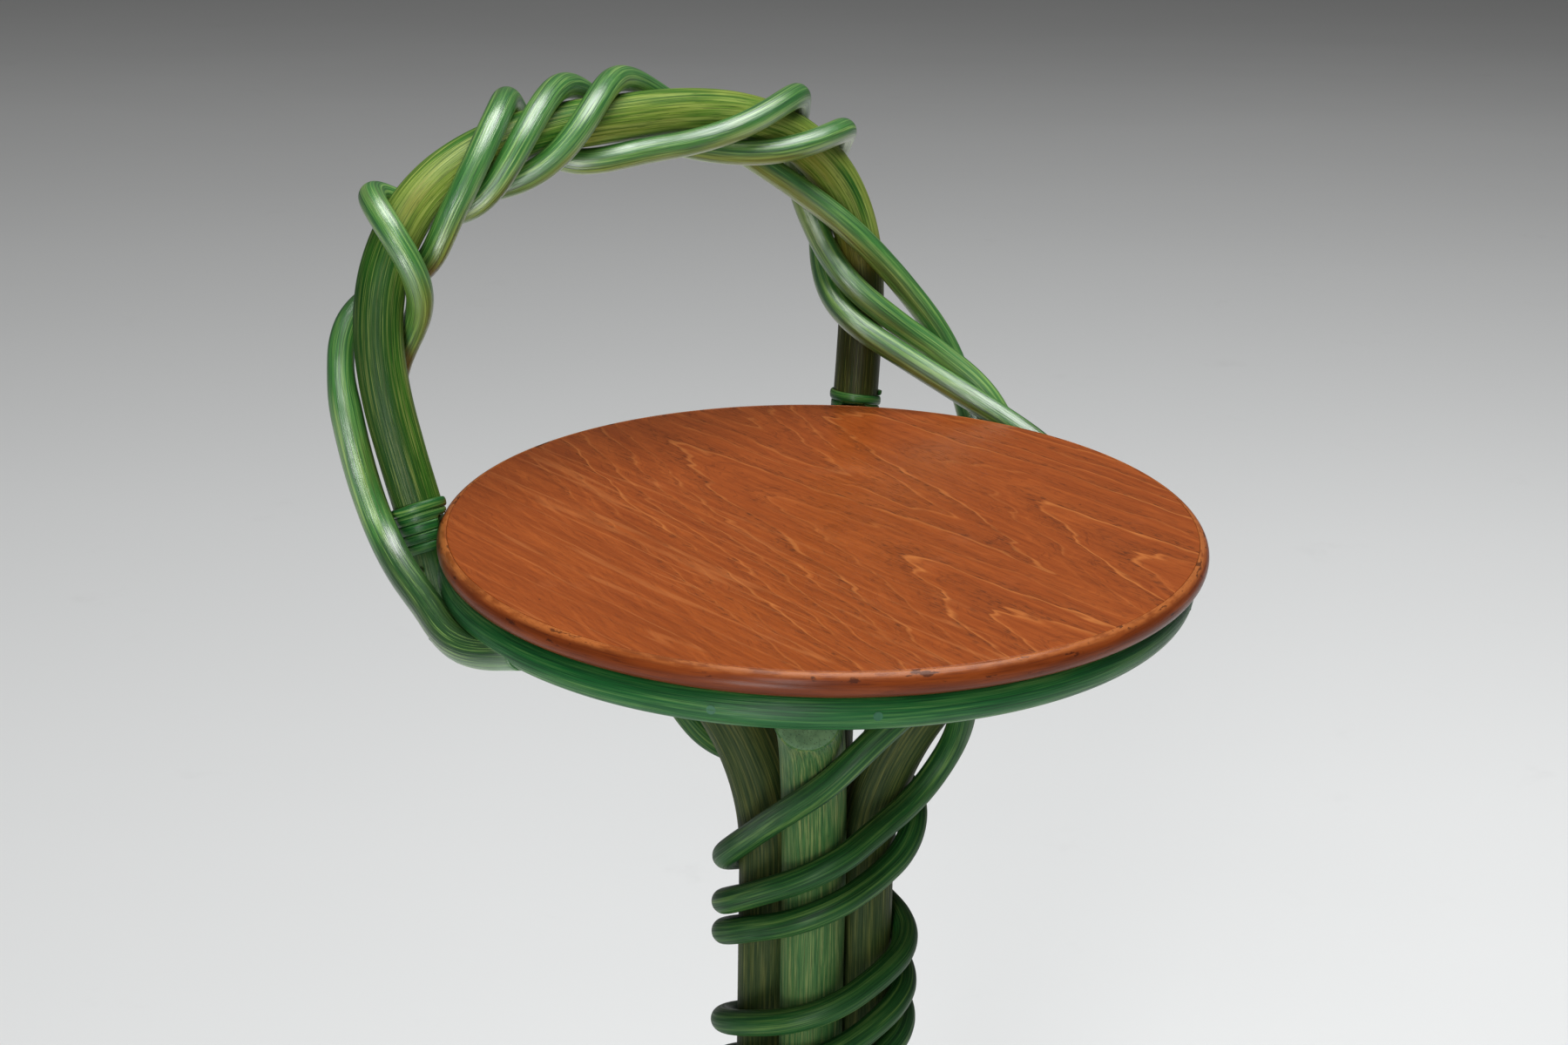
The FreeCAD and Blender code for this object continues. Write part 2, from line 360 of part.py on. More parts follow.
# pins across the two scarf joints
for name, c, r, d, z, az in (("seat_hoop", HOOP_C, HOOP_R, HOOP_D, HOOP_Z, SEAT_SCARF_AZ),
                             ("base_hoop", MIDDLE, BASE_R, BASE_D, BASE_Z, BASE_SCARF_AZ)):
    for da in (-3.2, 3.2):
        p = c + polar(r, az + da, z - d / 2 + 3.5)
        group("hoop_scarf_pins", rod(p, UP, 1.2, d - 6))
        hole(name, rod(p - UP * 8, UP, 1.25, d + 2))

# rails inside the hoop
ring = Part.makeTorus(HOOP_R, HOOP_D / 2 + 0.05, HOOP_C + UP * HOOP_Z, UP)
inside = rod(HOOP_C + UP * RAIL_Z, UP, HOOP_R - HOOP_D / 2 + 2, RAIL_T)
inside = inside.cut(rod(HOOP_C + UP * (RAIL_Z - 5), UP, HOOP_R, HOOP_Z - HOOP_D / 2 + 1 - RAIL_Z + 5)
                    .cut(rod(HOOP_C + UP * (RAIL_Z - 10), UP, RAIL_STEP, 60)))


def rail(az, r0, r1):
    box = Part.makeBox(r1 - r0, RAIL_W, RAIL_T, V(r0, -RAIL_W / 2, RAIL_Z))
    box.rotate(V(0, 0, 0), UP, az)
    return box.common(inside).cut(ring)


nodes["seat_rail_long"] = [rail(RAIL_AZ, -200, 200)]
nodes["seat_rail_front_right"] = [rail(RAIL_AZ - 90, RAIL_W / 2, 200)]
nodes["seat_rail_back_left"] = [rail(RAIL_AZ + 90, RAIL_W / 2, 200)]
RAILS = (("seat_rail_long", RAIL_AZ), ("seat_rail_long", RAIL_AZ + 180),
         ("seat_rail_front_right", RAIL_AZ - 90), ("seat_rail_back_left", RAIL_AZ + 90))

for name, az in RAILS:
    for side in (-1, 1):
        # screws from the rail up into the panel
        q = polar(116, az, 0) + polar(28 * side, az + 90, 0)
        q.z = RAIL_Z
        group("seat_screws", rod(q + UP * 12, UP, 4.0, 2.5).fuse(rod(q + UP * 14.5, UP, 2.0, 23.5)).removeSplitter())
        hole(name, rod(q - UP, UP, 4.2, 15.55), rod(q, UP, 2.05, RAIL_T + 1))
        hole("seat_backing", rod(q, UP, 2.05, 60))
        hole("seat_panel", rod(q, UP, 2.05, 38.1))
        # nails through the hoop into the end of the rail
        n = az + 11.5 * side
        out = polar(1, n, 0)
        p = HOOP_C + polar(HOOP_R + HOOP_D / 2 - 0.1, n, HOOP_Z)
        group("rail_nails", rod(p, out * -1, 2.3, 1.0).fuse(rod(p - out, out * -1, 1.2, 45)).removeSplitter())
        hole("seat_hoop", rod(p + out * 3, out * -1, 2.35, 4.05), rod(p, out * -1, 1.22, 40))
        hole(name, rod(p, out * -1, 1.22, 46.1))
for name, az in RAILS[2:]:
    # dowels between the short rails and the long one
    for side in (-1, 1):
        d = polar(1, az, 0)
        q = d * (RAIL_W / 2 - 20) + polar(22 * side, az + 90, 0)
        q.z = RAIL_Z + RAIL_T / 2
        group("rail_dowels", rod(q, d, 4.0, 40))
        hole("seat_rail_long", rod(q - d * 0.5, d, 4.05, 45))
        hole(name, rod(q, d, 4.05, 40.5))

# ---------------------------------------------------------------- column poles
PATHS = {}
for name, (az, drop, bend, end) in ARMS.items():
    node = "column_pole_" + name
    z0 = SEAT_H - drop
    be = math.radians(bend)

    def at(r, z):
        return polar(r, az, z)

    def top(t):
        return at(POLE_C + ARM_BEND * (1 - math.cos(t)), z0 + ARM_BEND * math.sin(t))

    def low(t):
        return at(POLE_C + FOOT_BEND * (1 - math.cos(t)), FOOT_Z + FOOT_BEND * (1 - math.sin(t)))

    r1 = POLE_C + ARM_BEND * (1 - math.cos(be))
    z1 = z0 + ARM_BEND * math.sin(be)
    z2 = z1 + (end - r1) / math.tan(be)
    q = math.pi / 2
    edges = [Part.LineSegment(at(FOOT_END, FOOT_Z), low(q)).toShape(),
             Part.Arc(low(q), low(q / 2), low(0)).toShape(),
             Part.LineSegment(low(0), top(0)).toShape(),
             Part.Arc(top(0), top(be / 2), top(be)).toShape(),
             Part.LineSegment(top(be), at(end, z2)).toShape()]
    wire = Part.Wire(edges)
    disc = Part.Face(Part.Wire(Part.Circle(at(FOOT_END, FOOT_Z), polar(-1, az, 0), POLE_D / 2).toShape()))
    body = wire.makePipe(disc)
    body = body if body.ShapeType == "Solid" else Part.Solid(body)
    body = body.cut(Part.makeBox(600, 600, 40, V(-300, -300, RAIL_Z)))
    body = body.cut(Part.makeTorus(BASE_R, BASE_D / 2 + 0.05, V(0, 0, BASE_Z), UP))
    nodes[node] = [body]
    PATHS[node] = ([at(FOOT_END, FOOT_Z)] + [low(q * (1 - i / 12)) for i in range(13)]
                   + [top(be * i / 16) for i in range(17)] + [at(end, z2)])
    # screw from the arm into the rail
    zs = z2 - 12 / math.tan(be) - POLE_D / 2 / math.sin(be)
    p = at(end - 12, zs + 4)
    top_z = RAIL_Z + 22
    group("arm_screws", rod(p, UP, 4.5, 3).fuse(rod(p + UP * 3, UP, 2.5, top_z - zs - 7)).removeSplitter())
    hole(node, rod(p - UP * 30, UP, 4.7, 33.05), rod(p, UP, 2.55, 80))
    near = min(RAILS, key=lambda k: abs((k[1] - az + 180) % 360 - 180))[0]
    hole(near, rod(p, UP, 2.55, top_z - zs - 4 + 0.1))
    # screw from below the base hoop into the foot
    p = at(BASE_R, GLIDE_T + 0.5)
    group("foot_screws", rod(p, UP, 4.5, 3).fuse(rod(p + UP * 3, UP, 2.5, 45.5)).removeSplitter())
    hole("base_hoop", rod(p - UP * 3, UP, 4.6, 6.05), rod(p, UP, 2.55, 40))
    hole(node, rod(p, UP, 2.55, 48.6))

# dowels through opposite poles
DOWEL_Z = []
for drop, az, pair in ((262.0, 45.95, ("front_left", "back_right")), (290.0, 136.2, ("front_right", "back_left")),
                       (410.0, 45.95, ("front_left", "back_right")), (430.0, 136.2, ("front_right", "back_left")),
                       (548.0, 45.95, ("front_left", "back_right")), (568.0, 136.2, ("front_right", "back_left"))):
    length = 2 * (POLE_C + POLE_D / 2) - 3
    d = polar(1, az, 0)
    p = d * (-length / 2) + UP * (SEAT_H - drop)
    group("column_dowels", rod(p, d, 5.0, length))
    DOWEL_Z.append(p.z)
    for n in pair:
        hole("column_pole_" + n, rod(p - d * 6, d, 5.03, length + 12))

# ---------------------------------------------------------------- arch and vines
arch = tube(ARCH, ARCH_D)
arch = arch.cut(rod(V(0, 0, z_under - 0.3), UP, SEAT_R + 0.3, SEAT_T + 0.6))
arch = arch.cut(ring)
nodes["back_arch"] = [arch]
for k, pts in ARCH_VINES.items():
    body = butt_tube(pts, VINE_D, BUTT_D, BUTT_N) if k == "a" else tube(pts, VINE_D)
    if k == "a":
        # its lower end is shaved to lie against the hoop
        body = max(body.cut(ring).Solids, key=lambda s: s.Volume)
    nodes["arch_vine_" + k] = [body]
for k, pts in COLUMN_VINES.items():
    body = tube(pts, VINE_D)
    stop = z_under if k == "a" else RAIL_Z
    nodes["column_vine_" + k] = [body.cut(Part.makeBox(600, 600, 60, V(-300, -300, stop)))]

# cane binding, tacks and screw at each foot of the arch
for side, pts, tack_az in (("left", ARCH[:6], -150.8), ("right", ARCH[::-1][:6], -25.0)):
    p = [V(*q) for q in pts]
    axis = unit(p[3] - p[1])
    mid = p[1] + axis * ((SEAT_H - 9.0 - p[1].z) / axis.z)
    r0 = ARCH_D / 2 + 0.25
    h = BIND_BANDS * BIND_PITCH
    prof = [Part.LineSegment(V(r0, 0, h / 2), V(r0, 0, -h / 2)).toShape()]
    z = -h / 2
    prof.append(Part.LineSegment(V(r0, 0, z), V(r0 + 0.3, 0, z)).toShape())
    for i in range(BIND_BANDS):
        prof.append(Part.Arc(V(r0 + 0.3, 0, z), V(r0 + BIND_T, 0, z + BIND_PITCH / 2),
                             V(r0 + 0.3, 0, z + BIND_PITCH)).toShape())
        z += BIND_PITCH
    prof.append(Part.LineSegment(V(r0 + 0.3, 0, h / 2), V(r0, 0, h / 2)).toShape())
    wrap = Part.Face(Part.Wire(prof)).revolve(V(0, 0, 0), UP, 360)
    wrap.Placement = FreeCAD.Placement(mid, FreeCAD.Rotation(UP, axis))
    wrap = wrap.cut(rod(V(0, 0, z_under - 0.4), UP, SEAT_R + 0.35, SEAT_T + 0.8))
    wrap = wrap.cut(Part.makeTorus(HOOP_R, HOOP_D / 2 + 0.15, HOOP_C + UP * HOOP_Z, UP))
    nodes["arch_binding_" + side] = [max(wrap.Solids, key=lambda s: s.Volume)] if wrap.Solids else [wrap]
    # tacks below the binding
    for drop, turn in ((28.0, 0.0), (40.0, 14.0 if side == "left" else -14.0)):
        c = p[0] + axis * ((SEAT_H - drop - p[0].z) / axis.z)
        d = polar(1, tack_az + turn, 0)
        d = unit(d - axis * d.dot(axis))
        group("binding_tacks", rod(c + d * (ARCH_D / 2 + 0.1), d, 1.8, 0.8).fuse(rod(c + d * 4, d, 0.7, ARCH_D / 2 - 3.5)).removeSplitter())
        hole("back_arch", rod(c + d * 3.9, d, 0.72, 14))
    # screw through the leg into the hoop
    c = p[0] + axis * ((HOOP_Z - 5.5 - p[0].z) / axis.z)
    az = math.degrees(math.atan2(c.y - HOOP_Y, c.x - HOOP_X))
    out = polar(1, az, 0)
    rc = math.hypot(c.x - HOOP_X, c.y - HOOP_Y)
    s = HOOP_C + polar(rc + 11.0, az, c.z)
    group("arch_screws", rod(s, out * -1, 4.0, 3).fuse(rod(s - out * 3, out * -1, 2.25, rc + 8 - HOOP_R + 4)).removeSplitter())
    hole("back_arch", rod(s + out * 8, out * -1, 4.1, 11.05), rod(s, out * -1, 2.3, 40))
    hole("seat_hoop", rod(s, out * -1, 2.28, rc + 11 - HOOP_R + 4.1))


# brads that hold the vines
def brad(vine, p, target, q, r=VINE_D / 2):
    d = unit(q - p)
    start = p - d * (r - 0.05)
    group("vine_brads", rod(start, d, 1.7, 0.8).fuse(rod(start + d * 0.8, d, 0.9, r * 2 + 11)).removeSplitter())
    hole(vine, rod(start - d * 2, d, 1.72, 2.82), rod(start, d, 0.92, r * 2 + 12))
    hole(target, rod(start, d, 0.92, r * 2 + 11.9))


def on_ring(c, r, z):
    return lambda p: c + polar(r, math.degrees(math.atan2(p.y - c.y, p.x - c.x)), z)


def mid_of(pts, i):
    return (V(*pts[i]) + V(*pts[i + 1])) * 0.5


hoop_at = on_ring(HOOP_C, HOOP_R, HOOP_Z)
base_at = on_ring(MIDDLE, BASE_R, BASE_Z)
for k, pts in ARCH_VINES.items():
    node = "arch_vine_" + k
    n = len(pts)
    order = sorted(range(n - 7, n - 1), key=lambda i: (mid_of(pts, i) - hoop_at(mid_of(pts, i))).Length)
    brad(node, mid_of(pts, order[0]), "seat_hoop", hoop_at(mid_of(pts, order[0])))
    if k == "a":
        for i in (3, 5):
            brad(node, mid_of(pts, i), "seat_hoop", hoop_at(mid_of(pts, i)), BUTT_D / 2)
    else:
        for i in (0, 2):
            brad(node, mid_of(pts, i), "back_arch", nearest(ARCH, mid_of(pts, i))[1])
for k, pts in COLUMN_VINES.items():
    node = "column_vine_" + k
    n = len(pts)
    brad(node, mid_of(pts, n - 2), "base_hoop", base_at(mid_of(pts, n - 2)))
    last = -99
    for i in range(8, n - 12):
        p = mid_of(pts, i)
        for target, line in PATHS.items():
            dist, q = nearest([(w.x, w.y, w.z) for w in line], p)
            if dist < VINE_D / 2 + POLE_D / 2 + 0.4 and i - last >= 15 \
                    and min(abs(p.z - z) for z in DOWEL_Z) > 11:
                brad(node, p, target, q)
                last = i

# ---------------------------------------------------------------- floor glides
for az in (1.2, 91.2, 181.2, 271.2):
    p = polar(BASE_R, az, 0)
    disc = rod(p, UP, GLIDE_D / 2, GLIDE_T)
    disc = disc.makeFillet(1.2, [e for e in disc.Edges if abs(e.BoundBox.ZMax) < 1e-6 and e.Length > 1])
    disc = disc.cut(rod(p - UP, UP, 3.6, 3.5)).cut(rod(p, UP, 1.35, GLIDE_T + 1))
    group("floor_glides", disc)
    group("glide_nails", rod(p + UP * 1.3, UP, 3.4, 1.2).fuse(rod(p + UP * 2.5, UP, 1.3, 17)).removeSplitter())
    hole("base_hoop", rod(p, UP, 1.35, 19.8))

# ---------------------------------------------------------------- drill and write
for name, solids in nodes.items():
    if name in holes:
        done = []
        for s in solids:
            r = s.cut(holes[name])
            done.extend(r.Solids)
        solids = done
    shape = solids[0] if len(solids) == 1 else Part.makeCompound(solids)
    vol = sum(s.Volume for s in shape.Solids)
    print("%-26s solids %2d volume %9.0f valid %s" % (name, len(shape.Solids), vol, shape.isValid()))
    shape.exportStep("parts/%s.step" % name)
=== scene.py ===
import math
import bpy
import numpy as np
from mathutils import Matrix, Vector

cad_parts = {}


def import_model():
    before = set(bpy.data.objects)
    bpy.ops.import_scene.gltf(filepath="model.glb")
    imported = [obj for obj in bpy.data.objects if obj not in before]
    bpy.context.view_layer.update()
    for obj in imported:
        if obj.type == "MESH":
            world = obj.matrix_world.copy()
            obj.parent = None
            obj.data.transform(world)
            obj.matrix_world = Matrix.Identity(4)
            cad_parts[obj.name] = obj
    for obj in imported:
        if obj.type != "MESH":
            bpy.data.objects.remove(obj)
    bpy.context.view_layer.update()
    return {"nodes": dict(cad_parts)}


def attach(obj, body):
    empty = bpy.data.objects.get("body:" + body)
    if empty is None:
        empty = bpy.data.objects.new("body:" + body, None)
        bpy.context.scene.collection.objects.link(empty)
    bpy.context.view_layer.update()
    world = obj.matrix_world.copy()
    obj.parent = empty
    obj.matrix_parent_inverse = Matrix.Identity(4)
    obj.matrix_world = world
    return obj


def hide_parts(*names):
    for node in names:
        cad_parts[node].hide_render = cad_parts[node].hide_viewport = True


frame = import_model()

# Everything is in the row frame. Lengths in the constants below are millimetres.
SEAT_H, SEAT_R, SEAT_T = 740.0, 200.0, 13.0
PANEL_R = 194.8
VENEER_T = 0.8
HOOP_R, HOOP_D, HOOP_Z = 186.8, 20.0, 717.5
HOOP_C = (-2.3, 2.0)
RAIL_Z = 697.0
POLE_D, POLE_C = 34.5, 24.6
ARM_BEND, FOOT_BEND = 165.0, 120.0
FOOT_Z, FOOT_END = 44.25, 215.0
ARMS = {"front_left": (-134.3, 207.0, 60.0, 119.5),
        "front_right": (-43.8, 193.0, 36.0, 94.0),
        "back_right": (46.2, 200.0, 52.0, 108.0),
        "back_left": (136.2, 190.0, 52.0, 103.0)}
VINE_D, BUTT_D, ARCH_D = 14.4, 17.2, 26.0
BASE_R, BASE_D, BASE_Z, BASE_FLAT = 205.0, 26.0, 17.0, 5.0

# Centre lines of the bent poles.
ARCH = [
    (-144.4, 139.2, 690.2), (-146.7, 141.7, 708.1), (-149.8, 144.2, 725.8), (-153.4, 146.7, 743.5),
    (-157.3, 149.1, 761.1), (-160.9, 151.6, 778.7), (-164.1, 154.1, 796.5), (-166, 156.6, 814.4),
    (-166.1, 159.2, 832.4), (-163.7, 161.7, 850.2), (-158, 164.1, 867.3), (-148.8, 166.2, 882.8),
    (-136.5, 168.1, 896), (-121.6, 169.5, 906.2), (-105, 170.6, 913.5), (-87.5, 171.3, 918.5), (-69.6, 171.7, 921.5),
    (-51.4, 171.9, 923), (-33.3, 172, 923.4), (-15.1, 171.9, 923.1), (3.1, 171.8, 922.4), (21.3, 171.7, 921.6),
    (39.4, 171.5, 920.1), (57.4, 171.2, 917.7), (75.2, 170.6, 914.1), (92.6, 169.9, 908.8), (109.3, 168.9, 901.7),
    (124.8, 167.6, 892.3), (138.5, 165.9, 880.4), (149.7, 163.9, 866.3), (157.7, 161.7, 850.1),
    (162.3, 159.2, 832.7), (163.8, 156.7, 814.8), (162.7, 154.2, 796.8), (160, 151.7, 779), (156.7, 149.2, 761.3),
    (153.2, 146.7, 743.6), (149.8, 144.2, 725.9), (146.8, 141.7, 708.2), (144.4, 139.2, 690.3),]
ARCH_VINES = {
    "a": [
        (-190, 6.3, 714.7), (-190.5, 17.7, 711), (-192.1, 29.1, 707.7), (-193.8, 40.9, 705.7), (-194.2, 52.9, 705.4),
        (-192.4, 64.8, 706.1), (-189.3, 76.3, 707.4), (-185.8, 87.7, 709), (-182.8, 99.2, 711),
        (-180.4, 110.7, 713.6), (-178.6, 122, 717.3), (-177.1, 132.7, 722.5), (-176.1, 142.4, 729.6),
        (-176.1, 150.2, 738.7), (-177.1, 155.6, 749.4), (-178.6, 159.3, 760.8), (-180.2, 161.9, 772.4),
        (-181.7, 164, 784.2), (-182.7, 166.3, 795.9), (-182.7, 169.2, 807.6), (-180.7, 172.9, 818.9),
        (-176.3, 177.3, 829.1), (-169.2, 180.8, 838.2), (-159.8, 181.3, 845.5), (-149.8, 178.1, 851.3),
        (-141.5, 171.7, 857.1), (-136.6, 163.2, 864.1), (-133.6, 156, 873.2), (-130.5, 151.5, 883.9),
        (-126.1, 149.2, 894.8), (-119.8, 148.6, 905.1), (-112.7, 149.7, 914.7), (-104.9, 152.3, 923.5),
        (-96.6, 156.3, 931.2), (-87.9, 161.8, 937.3), (-79, 169.1, 940.9), (-70.6, 177.6, 941.2),
        (-62.4, 185.7, 937.8), (-54.9, 191.2, 930.4), (-48.1, 192.4, 920.7), (-41.5, 189, 911.3),
        (-34.6, 181.4, 905.1), (-26.5, 172.9, 902.6), (-16.9, 165.8, 903.2), (-6, 161.1, 904.8), (5.8, 158.7, 905.8),
        (17.7, 157.3, 906.2), (29.7, 156.1, 906.5), (41.6, 154.5, 907.4), (53.3, 152.4, 909.2), (65, 150.6, 911.6),
        (76.6, 149.8, 914.6), (88.2, 150.6, 917.6), (99.7, 153.4, 919.9), (110.6, 158.3, 920.6),
        (120.5, 164.9, 918.9), (128.3, 172.6, 914.1), (134, 179.8, 906.4), (137.1, 184.9, 896), (138, 186.9, 884.2),
        (137.8, 185.6, 872.3), (137.8, 181.3, 861.1), (138.3, 175.9, 850.3), (139.5, 170, 839.9),
        (140.8, 163.3, 830), (142.2, 155.5, 820.9), (144.7, 147.3, 812.5), (149.4, 139.6, 804.5), (156, 133, 796.9),
        (163.5, 127.3, 789.4), (171.3, 121.8, 782.1), (179.1, 116, 775), (186.4, 109.8, 767.8), (193.2, 103, 760.6),
        (199.1, 95.8, 752.9), (203.6, 88.6, 744.3), (206.3, 81.9, 734.7), (206.5, 74.7, 725.1), (204, 66.7, 716.6),
        (199.3, 57.9, 709.8), (193.4, 48.6, 705),],
    "b": [
        (-146.2, 167.5, 754.2), (-148.3, 168.7, 766), (-150.2, 169.9, 777.9), (-151, 170.7, 789.9),
        (-150.5, 170.4, 801.9), (-148.7, 168.3, 813.7), (-146.4, 164.2, 824.8), (-145, 158.5, 835.3),
        (-145.7, 152.2, 845.6), (-148.4, 146.8, 856), (-152.6, 144, 866.9), (-157.3, 144.7, 878),
        (-160.9, 149.6, 888.3), (-162.2, 158, 896.8), (-160.2, 168.6, 902), (-154.3, 179, 902.8),
        (-145.5, 186.6, 900.1), (-135, 188.8, 895), (-124.7, 185.4, 889.9), (-115.7, 177.9, 887.6),
        (-108.7, 168.3, 889.6), (-102.7, 159.5, 895.2), (-96.6, 153.6, 903.8), (-90.1, 150.9, 913.4),
        (-82.5, 150.9, 922.8), (-73.9, 153.3, 930.9), (-64.6, 157.6, 937.3), (-54.9, 163.2, 941.8),
        (-44.9, 169.6, 944), (-34.8, 176.2, 943.9), (-24.8, 182.4, 941.4), (-14.9, 187.5, 936.8),
        (-5.1, 191.1, 930.8), (4.7, 192.6, 924), (14.6, 192, 917), (24.5, 189.5, 910.6), (34.5, 185.5, 905.1),
        (44.6, 180.6, 900.8), (54.9, 175.2, 897.5), (65.2, 169.5, 895.2), (75.7, 163.6, 893.7), (86.3, 157.8, 893.2),
        (97.2, 152.7, 893.7), (108.5, 148.8, 895.2), (120.3, 147.2, 897), (132.2, 148.7, 898.3), (143.3, 153.3, 898),
        (152.3, 160.6, 894.9), (158.3, 169, 888.8), (161.2, 176.4, 879.8), (160.9, 181.2, 868.8),
        (158.7, 183.1, 857.1), (155.8, 182.2, 845.4), (152.6, 179.1, 834.2), (149.2, 174.6, 823.5),
        (145.9, 168.8, 813.5), (143.1, 161, 804.7), (141.9, 151.8, 797.1), (143.7, 142.2, 790.1),
        (148.5, 133.4, 783.4), (155.1, 125.5, 777.1), (162, 117.8, 770.9), (168.9, 110, 764.7),
        (175.6, 101.9, 758.8), (181.9, 93.4, 753), (187.8, 84.4, 747.5), (192.9, 74.8, 742.3), (197.2, 64.6, 737.3),
        (200.5, 54.1, 732.5), (202.6, 43.2, 727.8), (203.3, 32.1, 723.1), (203, 20.9, 718.6), (202.1, 9.4, 715),
        (201.2, -2.4, 712.4), (200, -14.2, 710.5),],
    "c": [
        (-109.5, 190.2, 900.4), (-100.1, 183.2, 897.3), (-90.7, 175.7, 896.8), (-81.3, 168.3, 898.7),
        (-72.1, 161.5, 902.6), (-63.1, 155.9, 908.4), (-54.2, 152.4, 915.8), (-45.3, 151.3, 923.9),
        (-36.2, 152.8, 931.7), (-26.7, 156.9, 937.9), (-17, 162.8, 941.9), (-7, 169.4, 943.6), (3.1, 176, 942.9),
        (13.3, 181.8, 940.1), (23.6, 186.6, 935.8), (33.8, 189.9, 930.2), (43.9, 191.8, 923.9), (54, 192, 917.3),
        (64, 190.8, 910.5), (73.6, 188.5, 903.6), (83, 185.2, 896.7), (92.2, 181.3, 889.8), (101.1, 177.1, 882.9),
        (109.9, 172.5, 875.9), (118.3, 167.3, 868.9), (126.2, 161.5, 861.8), (133.7, 155.3, 854.5),
        (140.9, 149.3, 847), (148.1, 144, 838.9), (155.4, 139.4, 830.3), (162.7, 135.7, 821.4), (170, 132.6, 812.3),
        (177.1, 129.8, 802.9), (184, 126.9, 793.4), (190.4, 123.8, 783.6), (195.9, 120.5, 773.4),
        (200.2, 117, 762.6), (201.9, 112.1, 751.7), (200.7, 105.5, 741.7), (197.6, 97.5, 733.2), (194, 89.1, 725.3),
        (191.1, 81.1, 716.7), (189.3, 73.9, 707.1), (188.2, 67.2, 697.1),],
}
